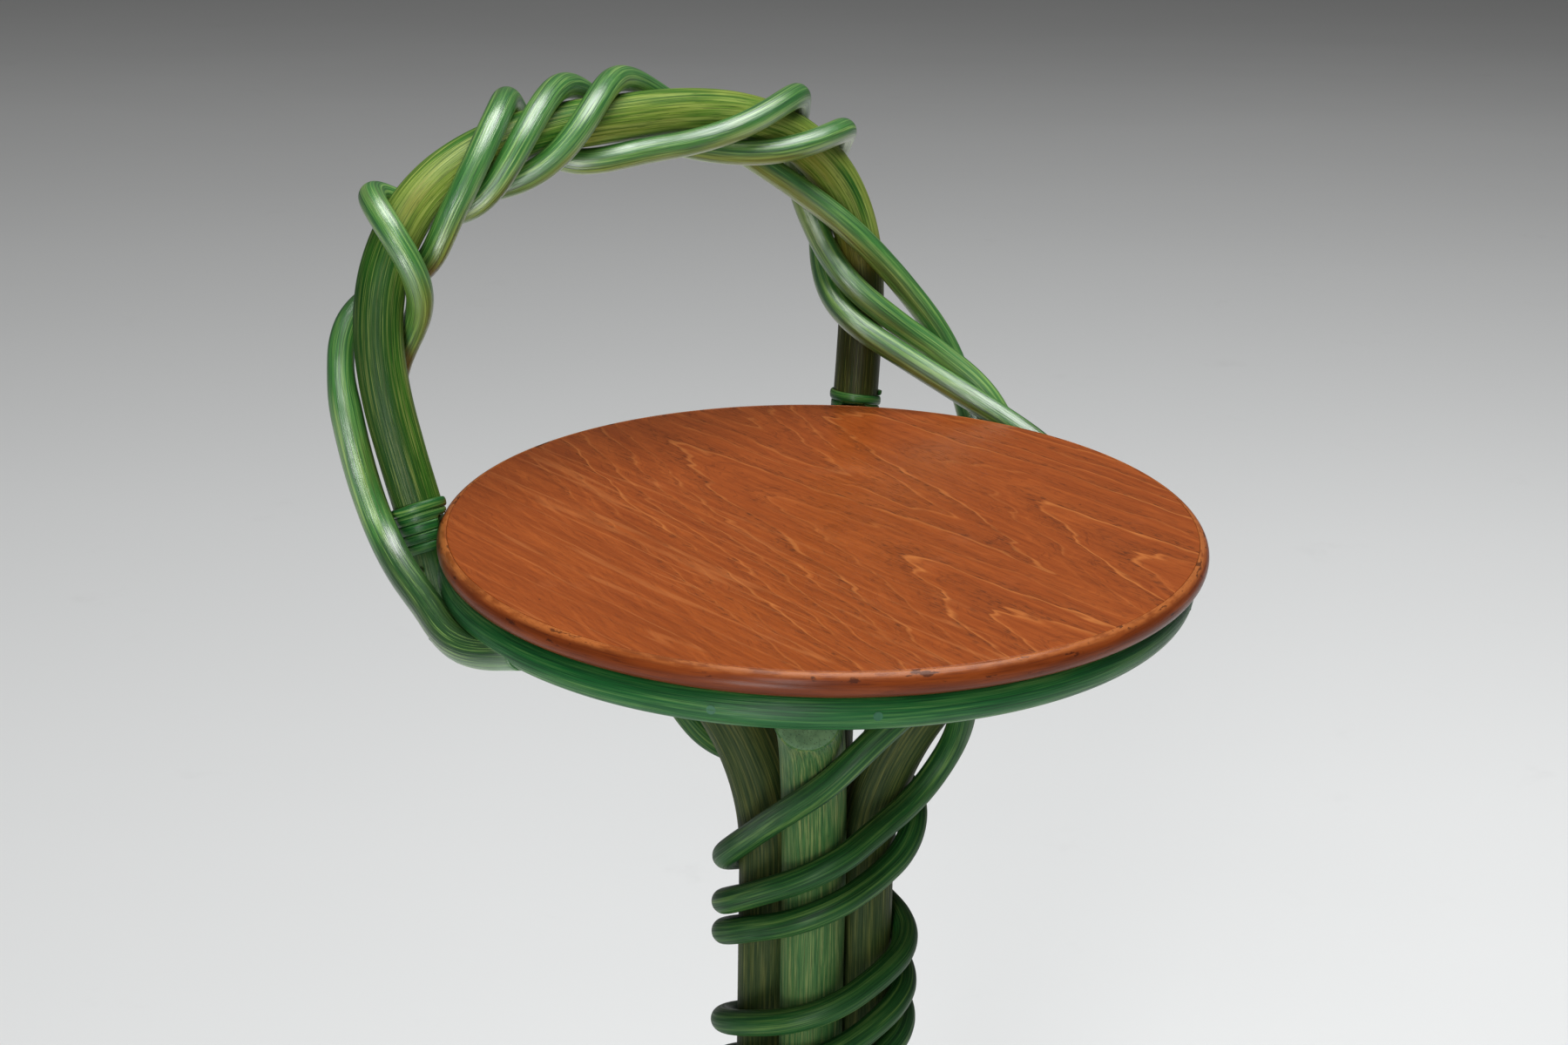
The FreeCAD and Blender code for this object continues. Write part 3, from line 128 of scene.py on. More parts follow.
COLUMN_VINES = {
    "a": [
        (23.3, -116.4, 737.8), (16.7, -113.5, 724.6), (9.6, -110.1, 711.9), (1.5, -106.3, 699.9),
        (-7.9, -102.3, 689.1), (-18.5, -98, 679.4), (-29.2, -93.3, 670), (-39, -88.1, 660.1), (-47.1, -81.9, 649.1),
        (-52.9, -74.1, 637.8), (-55.9, -64.1, 627.1), (-56.5, -52.9, 617.3), (-55.3, -41.3, 607.9),
        (-52.8, -29.7, 598.8), (-49.9, -18.1, 589.7), (-47.1, -6.7, 580.5), (-45, 4.7, 571.1), (-43.7, 16.1, 561.5),
        (-40.2, 27.3, 552.2), (-32.3, 37, 544.1), (-20.2, 43.1, 538), (-6.2, 45.6, 533.6), (8.3, 45.7, 529.8),
        (22.5, 42.8, 526.2), (34.5, 35, 522.3), (42.2, 23, 518.2), (45.4, 9, 514.2), (45.8, -5.4, 510.2),
        (43.7, -19.7, 506.2), (37, -32.3, 502.3), (25.7, -41.1, 498.2), (11.9, -45, 494.2), (-2.3, -45.9, 489.7),
        (-16.4, -44.6, 484.9), (-29.3, -39.2, 479.9), (-39.1, -29.2, 474.7), (-44.5, -16.4, 469.4),
        (-46.1, -2.6, 463.8), (-45.5, 11.1, 457.9), (-42, 24.4, 452.1), (-33.9, 35.6, 446.4), (-21.9, 42.6, 441.2),
        (-8.1, 45.5, 436.5), (6.1, 45.8, 431.8), (20.1, 43.5, 427.3), (32.6, 36.8, 422.6), (41.1, 25.7, 417.8),
        (45, 12, 413.2), (46, -2.2, 408.6), (44.5, -16.3, 404), (39.2, -29.4, 399.4), (29.1, -39.2, 394.6),
        (15.9, -44.3, 390), (1.8, -46, 385.4), (-12.4, -45.1, 380.8), (-26, -41.1, 376.2), (-37, -32.3, 371.4),
        (-43.4, -19.7, 366.8), (-45.7, -5.7, 362.2), (-45.7, 8.5, 357.6), (-42.7, 22.4, 353), (-35.2, 34.3, 348.2),
        (-23.4, 42.1, 343.5), (-9.6, 45.3, 339), (4.6, 45.9, 334.3), (18.7, 43.9, 329.8), (31.4, 37.8, 325.1),
        (40.4, 27, 320.3), (44.8, 13.5, 315.7), (46, -0.7, 311.1), (44.8, -14.8, 306.5), (40, -28.2, 301.9),
        (30.3, -38.4, 297.1), (17.4, -44, 292.5), (3.3, -45.8, 287.9), (-10.9, -45.4, 283.3), (-24.7, -41.8, 278.7),
        (-35.9, -33.4, 273.9), (-43, -21.2, 269.2), (-45.7, -7.2, 264.6), (-45.7, 7, 260.1), (-43.2, 21, 255.5),
        (-36.2, 33.3, 250.7), (-24.8, 41.5, 246), (-11.1, 45.1, 241.4), (3.1, 46, 236.8), (17.2, 44.4, 232.3),
        (30.1, 38.6, 227.6), (39.7, 28.3, 222.8), (44.5, 15, 218.2), (46, 0.8, 213.6), (45, -13.3, 209),
        (40.8, -26.9, 204.4), (31.6, -37.6, 199.6), (18.8, -43.6, 195), (4.8, -46, 190.3), (-9.4, -45.6, 185.7),
        (-23, -42.2, 180.7), (-34.9, -35.2, 175.1), (-44.5, -26, 168.3), (-53.3, -17.6, 159.5), (-61.8, -11.4, 149),
        (-70.4, -7.7, 137.3), (-79, -5.6, 125.3), (-88, -4.3, 113.4), (-97.4, -3.6, 101.8), (-107.2, -3.1, 90.5),
        (-117.6, -2.7, 79.7), (-128.5, -2.3, 69.5), (-140.3, -1.9, 60.3), (-152.9, -1.6, 52.2), (-166.3, -1.2, 45.6),
        (-180.3, -0.8, 40.4), (-194.8, -0.2, 36.6),],
    "b": [
        (40.7, -67.7, 710), (39.3, -69.2, 695.2), (38.3, -70.6, 680.3), (38.4, -70.6, 665.3), (40.3, -68.2, 650.6),
        (43.2, -63.2, 636.8), (44.6, -56.8, 623.3), (42, -50.9, 609.9), (33.7, -47.6, 597.9), (21.8, -46.3, 589.1),
        (8, -46.2, 583.1), (-6, -46.8, 578), (-20, -46.7, 572.6), (-32.5, -41.7, 566.2), (-40.3, -31.6, 558.7),
        (-43, -19.1, 551), (-43.2, -6.3, 543.2), (-43, 6.6, 535.4), (-42.7, 19.6, 527.9), (-37.7, 31.7, 520.9),
        (-27, 40.3, 515.1), (-13.4, 44.7, 510.7), (0.9, 45.9, 506.7), (15.4, 44.7, 502.8), (28.8, 39.6, 498.7),
        (39, 29.6, 494.6), (44.2, 16.2, 490.5), (45.9, 1.9, 486.4), (45.2, -12.5, 482.4), (41, -26.2, 478.1),
        (32.1, -37.2, 473.6), (19.3, -43.5, 469.1), (5.3, -45.8, 464.5), (-8.9, -45.6, 459.7), (-22.8, -42.6, 454.9),
        (-34.6, -35, 449.8), (-42.2, -23.4, 444.4), (-45.4, -9.8, 439.1), (-46.1, 4.1, 433.6), (-44.1, 17.9, 428),
        (-38.4, 30.6, 422.5), (-28.1, 39.8, 417.2), (-14.7, 44.4, 412.4), (-0.6, 46, 407.8), (13.7, 44.9, 403.2),
        (27.2, 40.6, 398.6), (37.8, 31.3, 393.8), (43.6, 18.4, 389.1), (45.9, 4.3, 384.5), (45.4, -9.9, 379.9),
        (42.2, -23.8, 375.3), (34.2, -35.4, 370.6), (21.9, -42.5, 365.9), (8.1, -45.6, 361.2), (-6.2, -45.7, 356.6),
        (-20.2, -43.4, 352), (-32.7, -36.8, 347.3), (-41.2, -25.5, 342.5), (-45.2, -11.8, 338), (-45.9, 2.4, 333.3),
        (-44.4, 16.6, 328.7), (-39.1, 29.7, 324.1), (-28.8, 39.4, 319.3), (-15.5, 44.4, 314.7), (-1.3, 46, 310.1),
        (12.9, 45.1, 305.4), (26.5, 41, 300.8), (37.2, 31.9, 296.1), (43.5, 19.2, 291.4), (45.8, 5.1, 286.8),
        (45.5, -9.1, 282.1), (42.6, -23.1, 277.6), (34.7, -34.8, 272.8), (22.8, -42.3, 268.1), (8.9, -45.4, 263.5),
        (-5.4, -45.8, 258.9), (-19.4, -43.7, 254.3), (-32.1, -37.2, 249.6), (-40.9, -26.3, 244.8),
        (-44.9, -12.6, 240.2), (-46.1, 1.6, 235.7), (-44.6, 15.8, 231), (-39.4, 29, 226.3), (-29.6, 39.1, 221.5),
        (-16.3, 44.1, 216.9), (-2.2, 46, 212.4), (12, 45.3, 207.7), (25.7, 41.2, 203.1), (36.9, 32.7, 198.3),
        (43.2, 20, 193.6), (45.9, 6, 189), (45.8, -8.2, 184.4), (42.5, -22, 179.5), (35.9, -34.2, 173.9),
        (26.9, -44, 167.1), (18.2, -52.6, 158.5), (11.8, -61.2, 148.1), (7.8, -69.8, 136.4), (5.7, -78.5, 124.4),
        (4.4, -87.4, 112.4), (3.7, -96.8, 100.7), (3.2, -106.6, 89.4), (2.7, -117.1, 78.7), (2.3, -128.2, 68.7),
        (1.9, -140.2, 59.7), (1.6, -153, 51.8), (1.2, -166.5, 45.4), (0.8, -180.6, 40.3), (0.2, -195.1, 36.5),],
    "c": [
        (-59.6, 106.4, 712), (-56, 102.3, 698), (-52.4, 98.1, 684), (-48.6, 93.8, 670), (-44.8, 89.2, 656.2),
        (-40.8, 84.2, 642.6), (-36.7, 78.7, 629.2), (-31.6, 72.7, 616.4), (-24.2, 66.5, 604.8), (-13.5, 61.2, 595.8),
        (-0.2, 56.8, 590.3), (14.1, 53, 587.3), (28.2, 48.2, 585.4), (40.3, 39.5, 584.5), (47.5, 26.4, 584.7),
        (50.4, 11.7, 585.4), (50.8, -3.3, 585), (48.3, -17.9, 582.4), (42.7, -30.3, 576.3), (33.9, -38.2, 567),
        (22.4, -41.7, 558.1), (8.9, -42.6, 551.6), (-5.5, -43.5, 547.3), (-20, -42.8, 543.4), (-32.6, -36.8, 538.2),
        (-40.6, -26, 531.8), (-42.8, -12.7, 525.1), (-43.1, 0.8, 518.5), (-43.2, 14.3, 511.7), (-40.3, 27.4, 505.1),
        (-31.4, 37.7, 499), (-18.6, 43.6, 493.8), (-4.5, 45.8, 489.2), (9.9, 45.7, 484.7), (23.7, 42.1, 480.2),
        (35.5, 34.2, 475.6), (42.6, 21.8, 470.9), (45.5, 7.8, 466.4), (45.7, -6.5, 461.8), (43.4, -20.7, 457.3),
        (36.4, -33, 452.6), (24.9, -41.5, 447.9), (11.1, -45.2, 443.4), (-3.2, -45.9, 438.8), (-17.4, -44.2, 434.2),
        (-30.4, -38.4, 429.6), (-39.9, -28, 424.7), (-44.6, -14.5, 420), (-46, -0.3, 415.4), (-44.9, 14, 410.7),
        (-40.4, 27.5, 406), (-31, 38, 401.2), (-18, 43.8, 396.5), (-3.8, 45.8, 391.8), (10.5, 45.5, 387.3),
        (24.3, 41.9, 382.6), (35.9, 33.7, 377.8), (42.8, 21.3, 373.1), (45.6, 7.2, 368.5), (45.7, -7.1, 363.8),
        (43.2, -21.2, 359.2), (36.1, -33.4, 354.5), (24.5, -41.6, 349.7), (10.7, -45.3, 345.1), (-3.6, -45.9, 340.5),
        (-17.8, -44.1, 335.8), (-30.7, -38.3, 331.2), (-40.1, -27.6, 326.4), (-44.8, -14.2, 321.6),
        (-45.9, 0.1, 317.1), (-44.9, 14.4, 312.5), (-40.1, 27.8, 307.8), (-30.6, 38.3, 303), (-17.5, 43.9, 298.3),
        (-3.3, 45.9, 293.7), (10.9, 45.4, 289.1), (24.8, 41.7, 284.5), (36.2, 33.4, 279.7), (42.9, 20.9, 274.9),
        (45.6, 6.8, 270.3), (45.7, -7.5, 265.7), (43.1, -21.6, 261.1), (35.8, -33.7, 256.3), (24.1, -41.8, 251.6),
        (10.2, -45.3, 247), (-4, -45.9, 242.3), (-18.2, -44, 237.7), (-31.1, -38, 233), (-40.4, -27.3, 228.2),
        (-44.8, -13.7, 223.6), (-46, 0.6, 218.9), (-44.8, 14.8, 214.4), (-39.9, 28.2, 209.7), (-30.3, 38.5, 204.8),
        (-17.2, 44, 200.2), (-3, 46.1, 195.5), (11.3, 45.3, 190.9), (24.9, 41.5, 185.9), (36.4, 33.9, 180),
        (46, 24.7, 172.8), (54.7, 16.5, 163.7), (63.3, 10.6, 152.9), (71.9, 7.3, 141), (80.7, 5.4, 128.9),
        (89.8, 4.2, 117), (99.3, 3.4, 105.3), (109.2, 3, 94), (119.5, 2.7, 83), (130.1, 2.4, 72.3), (141, 2.1, 61.9),
        (153, 1.6, 52.9), (166.3, 1.2, 45.8), (180.3, 0.8, 40.4), (194.9, 0.8, 36.5),],
}


# ================================================================ mesh helpers


def wobble(x, seed, octaves=3):
    """smooth repeatable unevenness between -1 and 1"""
    y = np.zeros_like(x, dtype=float)
    a, total = 1.0, 0.0
    for k in range(octaves):
        f = 1.0 * (1.9 ** k)
        y += a * np.sin(x * f * 6.2831 + seed * (1.7 + 2.3 * k)) * np.cos(x * f * 2.117 + seed * 0.9 + k)
        total += a
        a *= 0.55
    return y / total


def through(points, step):
    """dense smooth line through the points: places, directions, lengths along"""
    p = np.array(points, float)
    c = np.diff(p, axis=0)
    h = np.linalg.norm(c, axis=1)
    c = c / h[:, None]
    t = np.zeros_like(p)
    t[1:-1] = c[:-1] * h[1:, None] + c[1:] * h[:-1, None]
    t[1:-1] /= np.linalg.norm(t[1:-1], axis=1)[:, None]
    t[0] = 2 * c[0] * (c[0] @ t[1]) - t[1]
    t[-1] = 2 * c[-1] * (c[-1] @ t[-2]) - t[-2]
    out = []
    for i in range(len(h)):
        n = max(2, int(math.ceil(h[i] / step)))
        u = np.arange(n) / n
        u = u[:, None]
        out.append((2 * u**3 - 3 * u**2 + 1) * p[i] + (u**3 - 2 * u**2 + u) * h[i] * t[i]
                   + (-2 * u**3 + 3 * u**2) * p[i + 1] + (u**3 - u**2) * h[i] * t[i + 1])
    out.append(p[-1:])
    return line(np.concatenate(out))


def line(p):
    t = np.gradient(p, axis=0)
    t /= np.linalg.norm(t, axis=1)[:, None]
    s = np.concatenate([[0], np.cumsum(np.linalg.norm(np.diff(p, axis=0), axis=1))])
    return p, t, s


def carried(t, first):
    """cross directions carried along a line without twist"""
    n = np.zeros_like(t)
    v = np.array(first, float)
    for i in range(len(t)):
        v = v - t[i] * (v @ t[i])
        v /= np.linalg.norm(v)
        n[i] = v
    return n, np.cross(t, n)


def build(name, verts_mm, faces, mats, face_mat=None, fib=None, smooth=True, tint=None):
    me = bpy.data.meshes.new(name)
    me.from_pydata((np.asarray(verts_mm) / 1000.0).tolist(), [], faces)
    for m in mats:
        me.materials.append(m)
    if face_mat is not None:
        me.polygons.foreach_set("material_index", np.asarray(face_mat, np.int32))
    me.polygons.foreach_set("use_smooth", np.full(len(me.polygons), smooth, bool))
    if fib is not None:
        a = me.attributes.new("fib", "FLOAT_VECTOR", "POINT")
        a.data.foreach_set("vector", (np.asarray(fib, np.float32) / 1000.0).ravel())
    if tint is not None:
        a = me.attributes.new("tint", "FLOAT", "POINT")
        a.data.foreach_set("value", np.asarray(tint, np.float32))
    me.update()
    ob = bpy.data.objects.new(name, me)
    bpy.context.scene.collection.objects.link(ob)
    return ob


def tube(name, path, r, mats, seg=36, start=0.0, uneven=0.012, seed=1.0, twist=0.0, shape=None, cut0=None, cut1=None,
         chamfer=0.8, first=(0.31, 0.47, 0.83), tint=None, swell=None):
    """pole of radius r along a line, with rounded rims and cut ends; shape(verts) may press it against its neighbours"""
    p, t, s = path
    n, b = carried(t, first)
    th = np.arange(seg) / seg * 2 * math.pi
    ph = th[None, :] + twist * s[:, None]
    rr = r * (1 - uneven * (0.5 + 0.5 * wobble(s / 90.0, seed))[:, None]
              - uneven * 0.6 * (0.5 + 0.5 * np.cos(2 * ph + 3 * wobble(s / 160.0, seed + 4)[:, None])))
    if swell is not None:
        rr = rr * swell(s)[:, None]
    ring = p[:, None] + rr[..., None] * (np.cos(ph)[..., None] * n[:, None] + np.sin(ph)[..., None] * b[:, None])
    fib = np.stack([np.cos(th)[None] * r + 0 * ph, np.sin(th)[None] * r + 0 * ph, (s[:, None] + start) + 0 * ph], -1)
    tone = np.zeros(ring.shape[:2])
    if tint is not None:
        tone = tint(p[:, None] + 0 * ring, (ring - p[:, None]) / rr[..., None], s[:, None] + 0 * ph)
    rings, fibs, tones = list(ring), list(fib), list(tone)
    cap = 5

    def ends(i, sign):
        extra, efib = [], []
        for k, (f, back) in enumerate(((0.985, 0.30), (0.945, 0.05), (0.80, 0.0), (0.5, 0.0), (0.22, 0.0))):
            q = p[i] + (ring[i] - p[i]) * f - sign * t[i] * back * chamfer
            extra.append(q)
            w = fib[i].copy()
            w[:, :2] *= f
            efib.append(w)
        return extra, efib

    # the tube proper starts one chamfer in from its ends
    e0, f0 = ends(0, -1)
    e1, f1 = ends(len(p) - 1, 1)
    rings = e0[::-1] + rings[1:-1] + e1
    fibs = f0[::-1] + fibs[1:-1] + f1
    tones = [tone[0]] * len(e0) + tones[1:-1] + [tone[-1]] * len(e1)
    v = np.concatenate(rings)
    f = np.concatenate(fibs)
    tones = np.concatenate(tones + [tone[0][:1], tone[-1][:1]])
    m = len(rings)
    faces, fm = [], []
    for i in range(m - 1):
        o, q = i * seg, (i + 1) * seg
        mat = 1 if (i < cap - 2 or i > m - 2 - (cap - 2)) and len(mats) > 1 else 0
        for j in range(seg):
            k = (j + 1) % seg
            faces.append((o + j, o + k, q + k, q + j))
            fm.append(mat)
    c0, c1 = len(v), len(v) + 1
    v = np.concatenate([v, [p[0]], [p[-1]]])
    f = np.concatenate([f, [[0, 0, s[0] + start]], [[0, 0, s[-1] + start]]])
    last = (m - 1) * seg
    for j in range(seg):
        k = (j + 1) % seg
        faces.append((c0, k, j))
        faces.append((c1, last + j, last + k))
        fm += [len(mats) - 1] * 2
    if cut0 is not None:
        v = slice_end(v, *cut0)
    if cut1 is not None:
        v = slice_end(v, *cut1)
    if shape is not None:
        v = shape(v)
    return build(name, v, faces, mats, fm, f, tint=tones)


def slice_end(v, point, normal, reach):
    """moves what lies beyond a plane, within reach of the point, back onto it"""
    point, normal = np.array(point, float), np.array(normal, float)
    normal = normal / np.linalg.norm(normal)
    d = (v - point) @ normal
    near = np.linalg.norm(v - point, axis=1) < reach
    k = (d > 0) & near
    v = v.copy()
    v[k] -= d[k, None] * normal
    return v


def off_ring(v, radius, r, z, middle=(0, 0)):
    """pushes points out of a hoop"""
    v = v.copy()
    a = np.arctan2(v[:, 1] - middle[1], v[:, 0] - middle[0])
    c = np.stack([middle[0] + radius * np.cos(a), middle[1] + radius * np.sin(a), np.full(len(v), z)], 1)
    d = v - c
    n = np.linalg.norm(d, axis=1)
    k = n < r
    v[k] = c[k] + d[k] / np.maximum(n[k], 1e-6)[:, None] * r
    return v


def off_seat(v, radius, z0, z1):
    """pushes points out of the edge of the seat"""
    v = v.copy()
    rho = np.hypot(v[:, 0], v[:, 1])
    k = (rho < radius) & (v[:, 2] > z0) & (v[:, 2] < z1)
    v[k, :2] *= (radius / rho[k])[:, None]
    return v


def turned(name, prof, mats, seg=360, closed=True, fib_r=None):
    """ring or disc turned about Z from (radius, height) points"""
    prof = np.array(prof, float)
    a = np.arange(seg) / seg * 2 * math.pi
    v = np.stack([np.cos(a)[:, None] * prof[None, :, 0], np.sin(a)[:, None] * prof[None, :, 0],
                  np.broadcast_to(prof[None, :, 1], (seg, len(prof)))], -1).reshape(-1, 3)
    m = len(prof)
    faces = []
    for i in range(seg):
        k = (i + 1) % seg
        for j in range(m if closed else m - 1):
            q = (j + 1) % m
            faces.append((i * m + j, k * m + j, k * m + q, i * m + q))
    fib = None
    if fib_r is not None:
        fib = np.stack([np.broadcast_to(prof[None, :, 0] - fib_r, (seg, m)),
                        np.broadcast_to(prof[None, :, 1], (seg, m)),
                        np.broadcast_to((a * fib_r)[:, None], (seg, m))], -1).reshape(-1, 3)
    return build(name, v, faces, mats, None, fib)


def disc(name, prof, mats, seg=256):
    """solid turned about Z; the first and last points of the profile lie on the axis"""
    prof = np.array(prof, float)
    a = np.arange(seg) / seg * 2 * math.pi
    inner = prof[1:-1]
    m = len(inner)
    v = np.stack([np.cos(a)[:, None] * inner[None, :, 0], np.sin(a)[:, None] * inner[None, :, 0],
                  np.broadcast_to(inner[None, :, 1], (seg, m))], -1).reshape(-1, 3)
    v = np.concatenate([v, [[0, 0, prof[0, 1]]], [[0, 0, prof[-1, 1]]]])
    top, low = len(v) - 2, len(v) - 1
    faces = []
    for i in range(seg):
        k = (i + 1) % seg
        faces.append((top, i * m, k * m))
        faces.append((low, k * m + m - 1, i * m + m - 1))
        for j in range(m - 1):
            faces.append((i * m + j, i * m + j + 1, k * m + j + 1, k * m + j))
    return build(name, v, faces, mats)


# ================================================================ materials


def lin(r, g, b):
    f = lambda c: c / 12.92 if c <= 0.04045 else ((c + 0.055) / 1.055) ** 2.4
    return (f(r / 255.0), f(g / 255.0), f(b / 255.0), 1.0)


class Look:
    """small helper for node materials"""

    def __init__(self, name):
        self.mat = bpy.data.materials.new(name)
        self.mat.use_nodes = True
        self.nt = self.mat.node_tree
        self.nt.nodes.clear()
        self.out = self.nt.nodes.new("ShaderNodeOutputMaterial")
        self.bsdf = self.nt.nodes.new("ShaderNodeBsdfPrincipled")
        self.nt.links.new(self.bsdf.outputs[0], self.out.inputs[0])

    def put(self, socket, value):
        if isinstance(value, bpy.types.NodeSocket):
            self.nt.links.new(value, socket)
        elif value is not None:
            socket.default_value = value

    def set(self, **kw):
        for k, v in kw.items():
            self.put(self.bsdf.inputs[k.replace("_", " ")], v)
        return self

    def attr(self, name):
        n = self.nt.nodes.new("ShaderNodeAttribute")
        n.attribute_name = name
        return n.outputs["Vector"]

    def place(self):
        return self.nt.nodes.new("ShaderNodeTexCoord").outputs["Object"]

    def vec(self, op, a, b=None):
        n = self.nt.nodes.new("ShaderNodeVectorMath")
        n.operation = op
        self.put(n.inputs[0], a)
        if b is not None:
            self.put(n.inputs[1], b)
        return n.outputs[0]

    def split(self, v):
        n = self.nt.nodes.new("ShaderNodeSeparateXYZ")
        self.put(n.inputs[0], v)
        return n.outputs

    def join(self, x, y, z):
        n = self.nt.nodes.new("ShaderNodeCombineXYZ")
        for i, q in enumerate((x, y, z)):
            self.put(n.inputs[i], q)
        return n.outputs[0]

    def math(self, op, a, b=None, c=None, clamp=False):
        n = self.nt.nodes.new("ShaderNodeMath")
        n.operation = op
        n.use_clamp = clamp
        for i, q in enumerate((a, b, c)):
            if q is not None:
                self.put(n.inputs[i], q)
        return n.outputs[0]

    def noise(self, v, scale, detail=2.0, rough=0.5, distort=0.0):
        n = self.nt.nodes.new("ShaderNodeTexNoise")
        self.put(n.inputs["Vector"], v)
        n.inputs["Scale"].default_value = scale
        n.inputs["Detail"].default_value = detail
        n.inputs["Roughness"].default_value = rough
        n.inputs["Distortion"].default_value = distort
        return n.outputs["Fac"]

    def cells(self, v, scale, feature="F1", rand=1.0):
        n = self.nt.nodes.new("ShaderNodeTexVoronoi")
        n.feature = feature
        self.put(n.inputs["Vector"], v)
        n.inputs["Scale"].default_value = scale
        n.inputs["Randomness"].default_value = rand
        return n.outputs["Distance"]

    def white(self, value):
        n = self.nt.nodes.new("ShaderNodeTexWhiteNoise")
        n.noise_dimensions = "1D"
        self.put(n.inputs["W"], value)
        return n.outputs["Value"]

    def band(self, v, a, b, lo=0.0, hi=1.0, smooth=True):
        n = self.nt.nodes.new("ShaderNodeMapRange")
        n.interpolation_type = "SMOOTHSTEP" if smooth else "LINEAR"
        self.put(n.inputs["Value"], v)
        for k, q in (("From Min", a), ("From Max", b), ("To Min", lo), ("To Max", hi)):
            n.inputs[k].default_value = q
        return n.outputs["Result"]

    def ramp(self, v, stops):
        n = self.nt.nodes.new("ShaderNodeValToRGB")
        e = n.color_ramp.elements
        while len(e) < len(stops):
            e.new(0.5)
        for q, (pos, col) in zip(e, stops):
            q.position = pos
            q.color = col
        self.put(n.inputs[0], v)
        return n.outputs[0]

    def mix(self, f, a, b, how="MIX"):
        n = self.nt.nodes.new("ShaderNodeMix")
        n.data_type = "RGBA"
        n.blend_type = how
        self.put(n.inputs["Factor"], f)
        self.put(n.inputs[6], a)
        self.put(n.inputs[7], b)
        return n.outputs[2]

    def bump(self, h, strength, distance, after=None):
        n = self.nt.nodes.new("ShaderNodeBump")
        n.inputs["Strength"].default_value = strength
        n.inputs["Distance"].default_value = distance
        self.put(n.inputs["Height"], h)
        if after is not None:
            self.put(n.inputs["Normal"], after)
        return n.outputs[0]


def rattan(name, green, mid, pale, dark, olive, ochre, base=0.5, spread=0.5, patchy=1.0, gloss=0.3, coat=1.5, rough=0.36,
           streak=0.6, cream=0.35, dash=0.4, width=1.0, run=1.0, worn=0.0, satin=0.30):
    """stained and lacquered rattan: long fine fibres, streaks of stain, green that thins to olive and ochre"""
    k = Look(name)
    f = k.attr("fib")
    t = k.nt.nodes.new("ShaderNodeAttribute")
    t.attribute_name = "tint"
    w = 1.0 / width
    z = 1.0 / run
    fibre = k.noise(k.vec("MULTIPLY", f, (1, 1, 0.011 * z)), 1600 * w, 2.5, 0.62)
    hair = k.noise(k.vec("MULTIPLY", f, (1, 1, 0.014 * z)), 3400 * w, 1.5, 0.5)
    streaks = k.noise(k.vec("MULTIPLY", f, (1, 1, 0.026 * z)), 430 * w, 2.5, 0.6)
    tone = k.noise(k.vec("ADD", k.vec("MULTIPLY", f, (1, 1, 0.17)), (1.3, 0.4, 2.2)), 58, 2.0, 0.5)
    cloud = k.noise(k.vec("ADD", k.vec("MULTIPLY", f, (1, 1, 0.28)), (3.1, 1.7, 0.4)), 105, 3.0, 0.55)
    rub = k.noise(k.vec("ADD", k.vec("MULTIPLY", f, (1, 1, 0.22)), (0.7, 5.1, 1.9)), 260, 3.0, 0.6)
    col = k.ramp(streaks, [(0.28, green), (0.50, mid), (0.74, pale)])
    # where the stain is thin: olive, and ochre in the thinnest places; the tint feeds in here too, which paints the
    # undersides of the column vines paler and more olive as painted floor light
    thin = k.math("ADD", t.outputs["Fac"], k.math("MULTIPLY", k.math("SUBTRACT", tone, base), 2.2 * patchy))
    thin = k.math("ADD", thin, k.math("MULTIPLY", k.math("SUBTRACT", streaks, 0.5), 1.1))
    col = k.mix(k.math("MULTIPLY", k.band(thin, 0.0, 0.75), 0.92), col, k.mix(k.band(streaks, 0.38, 0.66), olive, k.mix(0.55, olive, pale)))
    col = k.mix(k.math("MULTIPLY", k.band(thin, 0.62, 1.15), spread), col, ochre)
    col = k.mix(k.math("MULTIPLY", k.band(cloud, 0.55, 0.78), 0.40), col, green)
    # dark where the tint runs below zero: thicker stain, and painted shade on the tops of the column vines, on the
    # vine ends by the seat ring and partly on the outer side of the left arch foot; dark brown-olive painted shade
    # where the tint runs high, on the right arch foot
    col = k.mix(k.band(t.outputs["Fac"], -0.15, -0.95, 0.0, 0.72), col, dark)
    col = k.mix(k.band(t.outputs["Fac"], 1.10, 1.60, 0.0, 0.92), col, lin(26, 34, 8))
    # fibres
    col = k.mix(k.math("MULTIPLY", k.band(fibre, 0.50, 0.64), streak), col, dark)
    col = k.mix(k.math("MULTIPLY", k.band(fibre, 0.45, 0.33), cream), col, pale)
    col = k.mix(k.math("MULTIPLY", k.band(hair, 0.54, 0.70), 0.55 * streak), col, dark)
    mark = k.noise(k.vec("MULTIPLY", f, (1, 1, 0.06 * z)), 1250 * w, 1.0, 0.4)
    col = k.mix(k.math("MULTIPLY", k.band(mark, 0.65, 0.73), dash), col, dark)
    if worn > 0:
        col = k.mix(k.band(rub, 0.60, 0.74, 0.0, worn), col, pale)
    height = k.math("ADD", k.math("MULTIPLY", fibre, 0.65), k.math("MULTIPLY", hair, 0.35))
    r = k.math("ADD", k.math("MULTIPLY", k.band(fibre, 0.35, 0.68), 0.20), rough - 0.07)
    r = k.math("ADD", r, k.math("MULTIPLY", k.math("SUBTRACT", rub, 0.5), 0.25))
    n = k.bump(height, 0.55, 0.00045)
    k.set(Base_Color=col, Roughness=r, Normal=n, Coat_Weight=gloss, Coat_Roughness=satin, Coat_IOR=coat,
          Specular_IOR_Level=0.16)
    k.put(k.bsdf.inputs["Coat Normal"], k.bump(height, 0.62, 0.0005))
    return k.mat


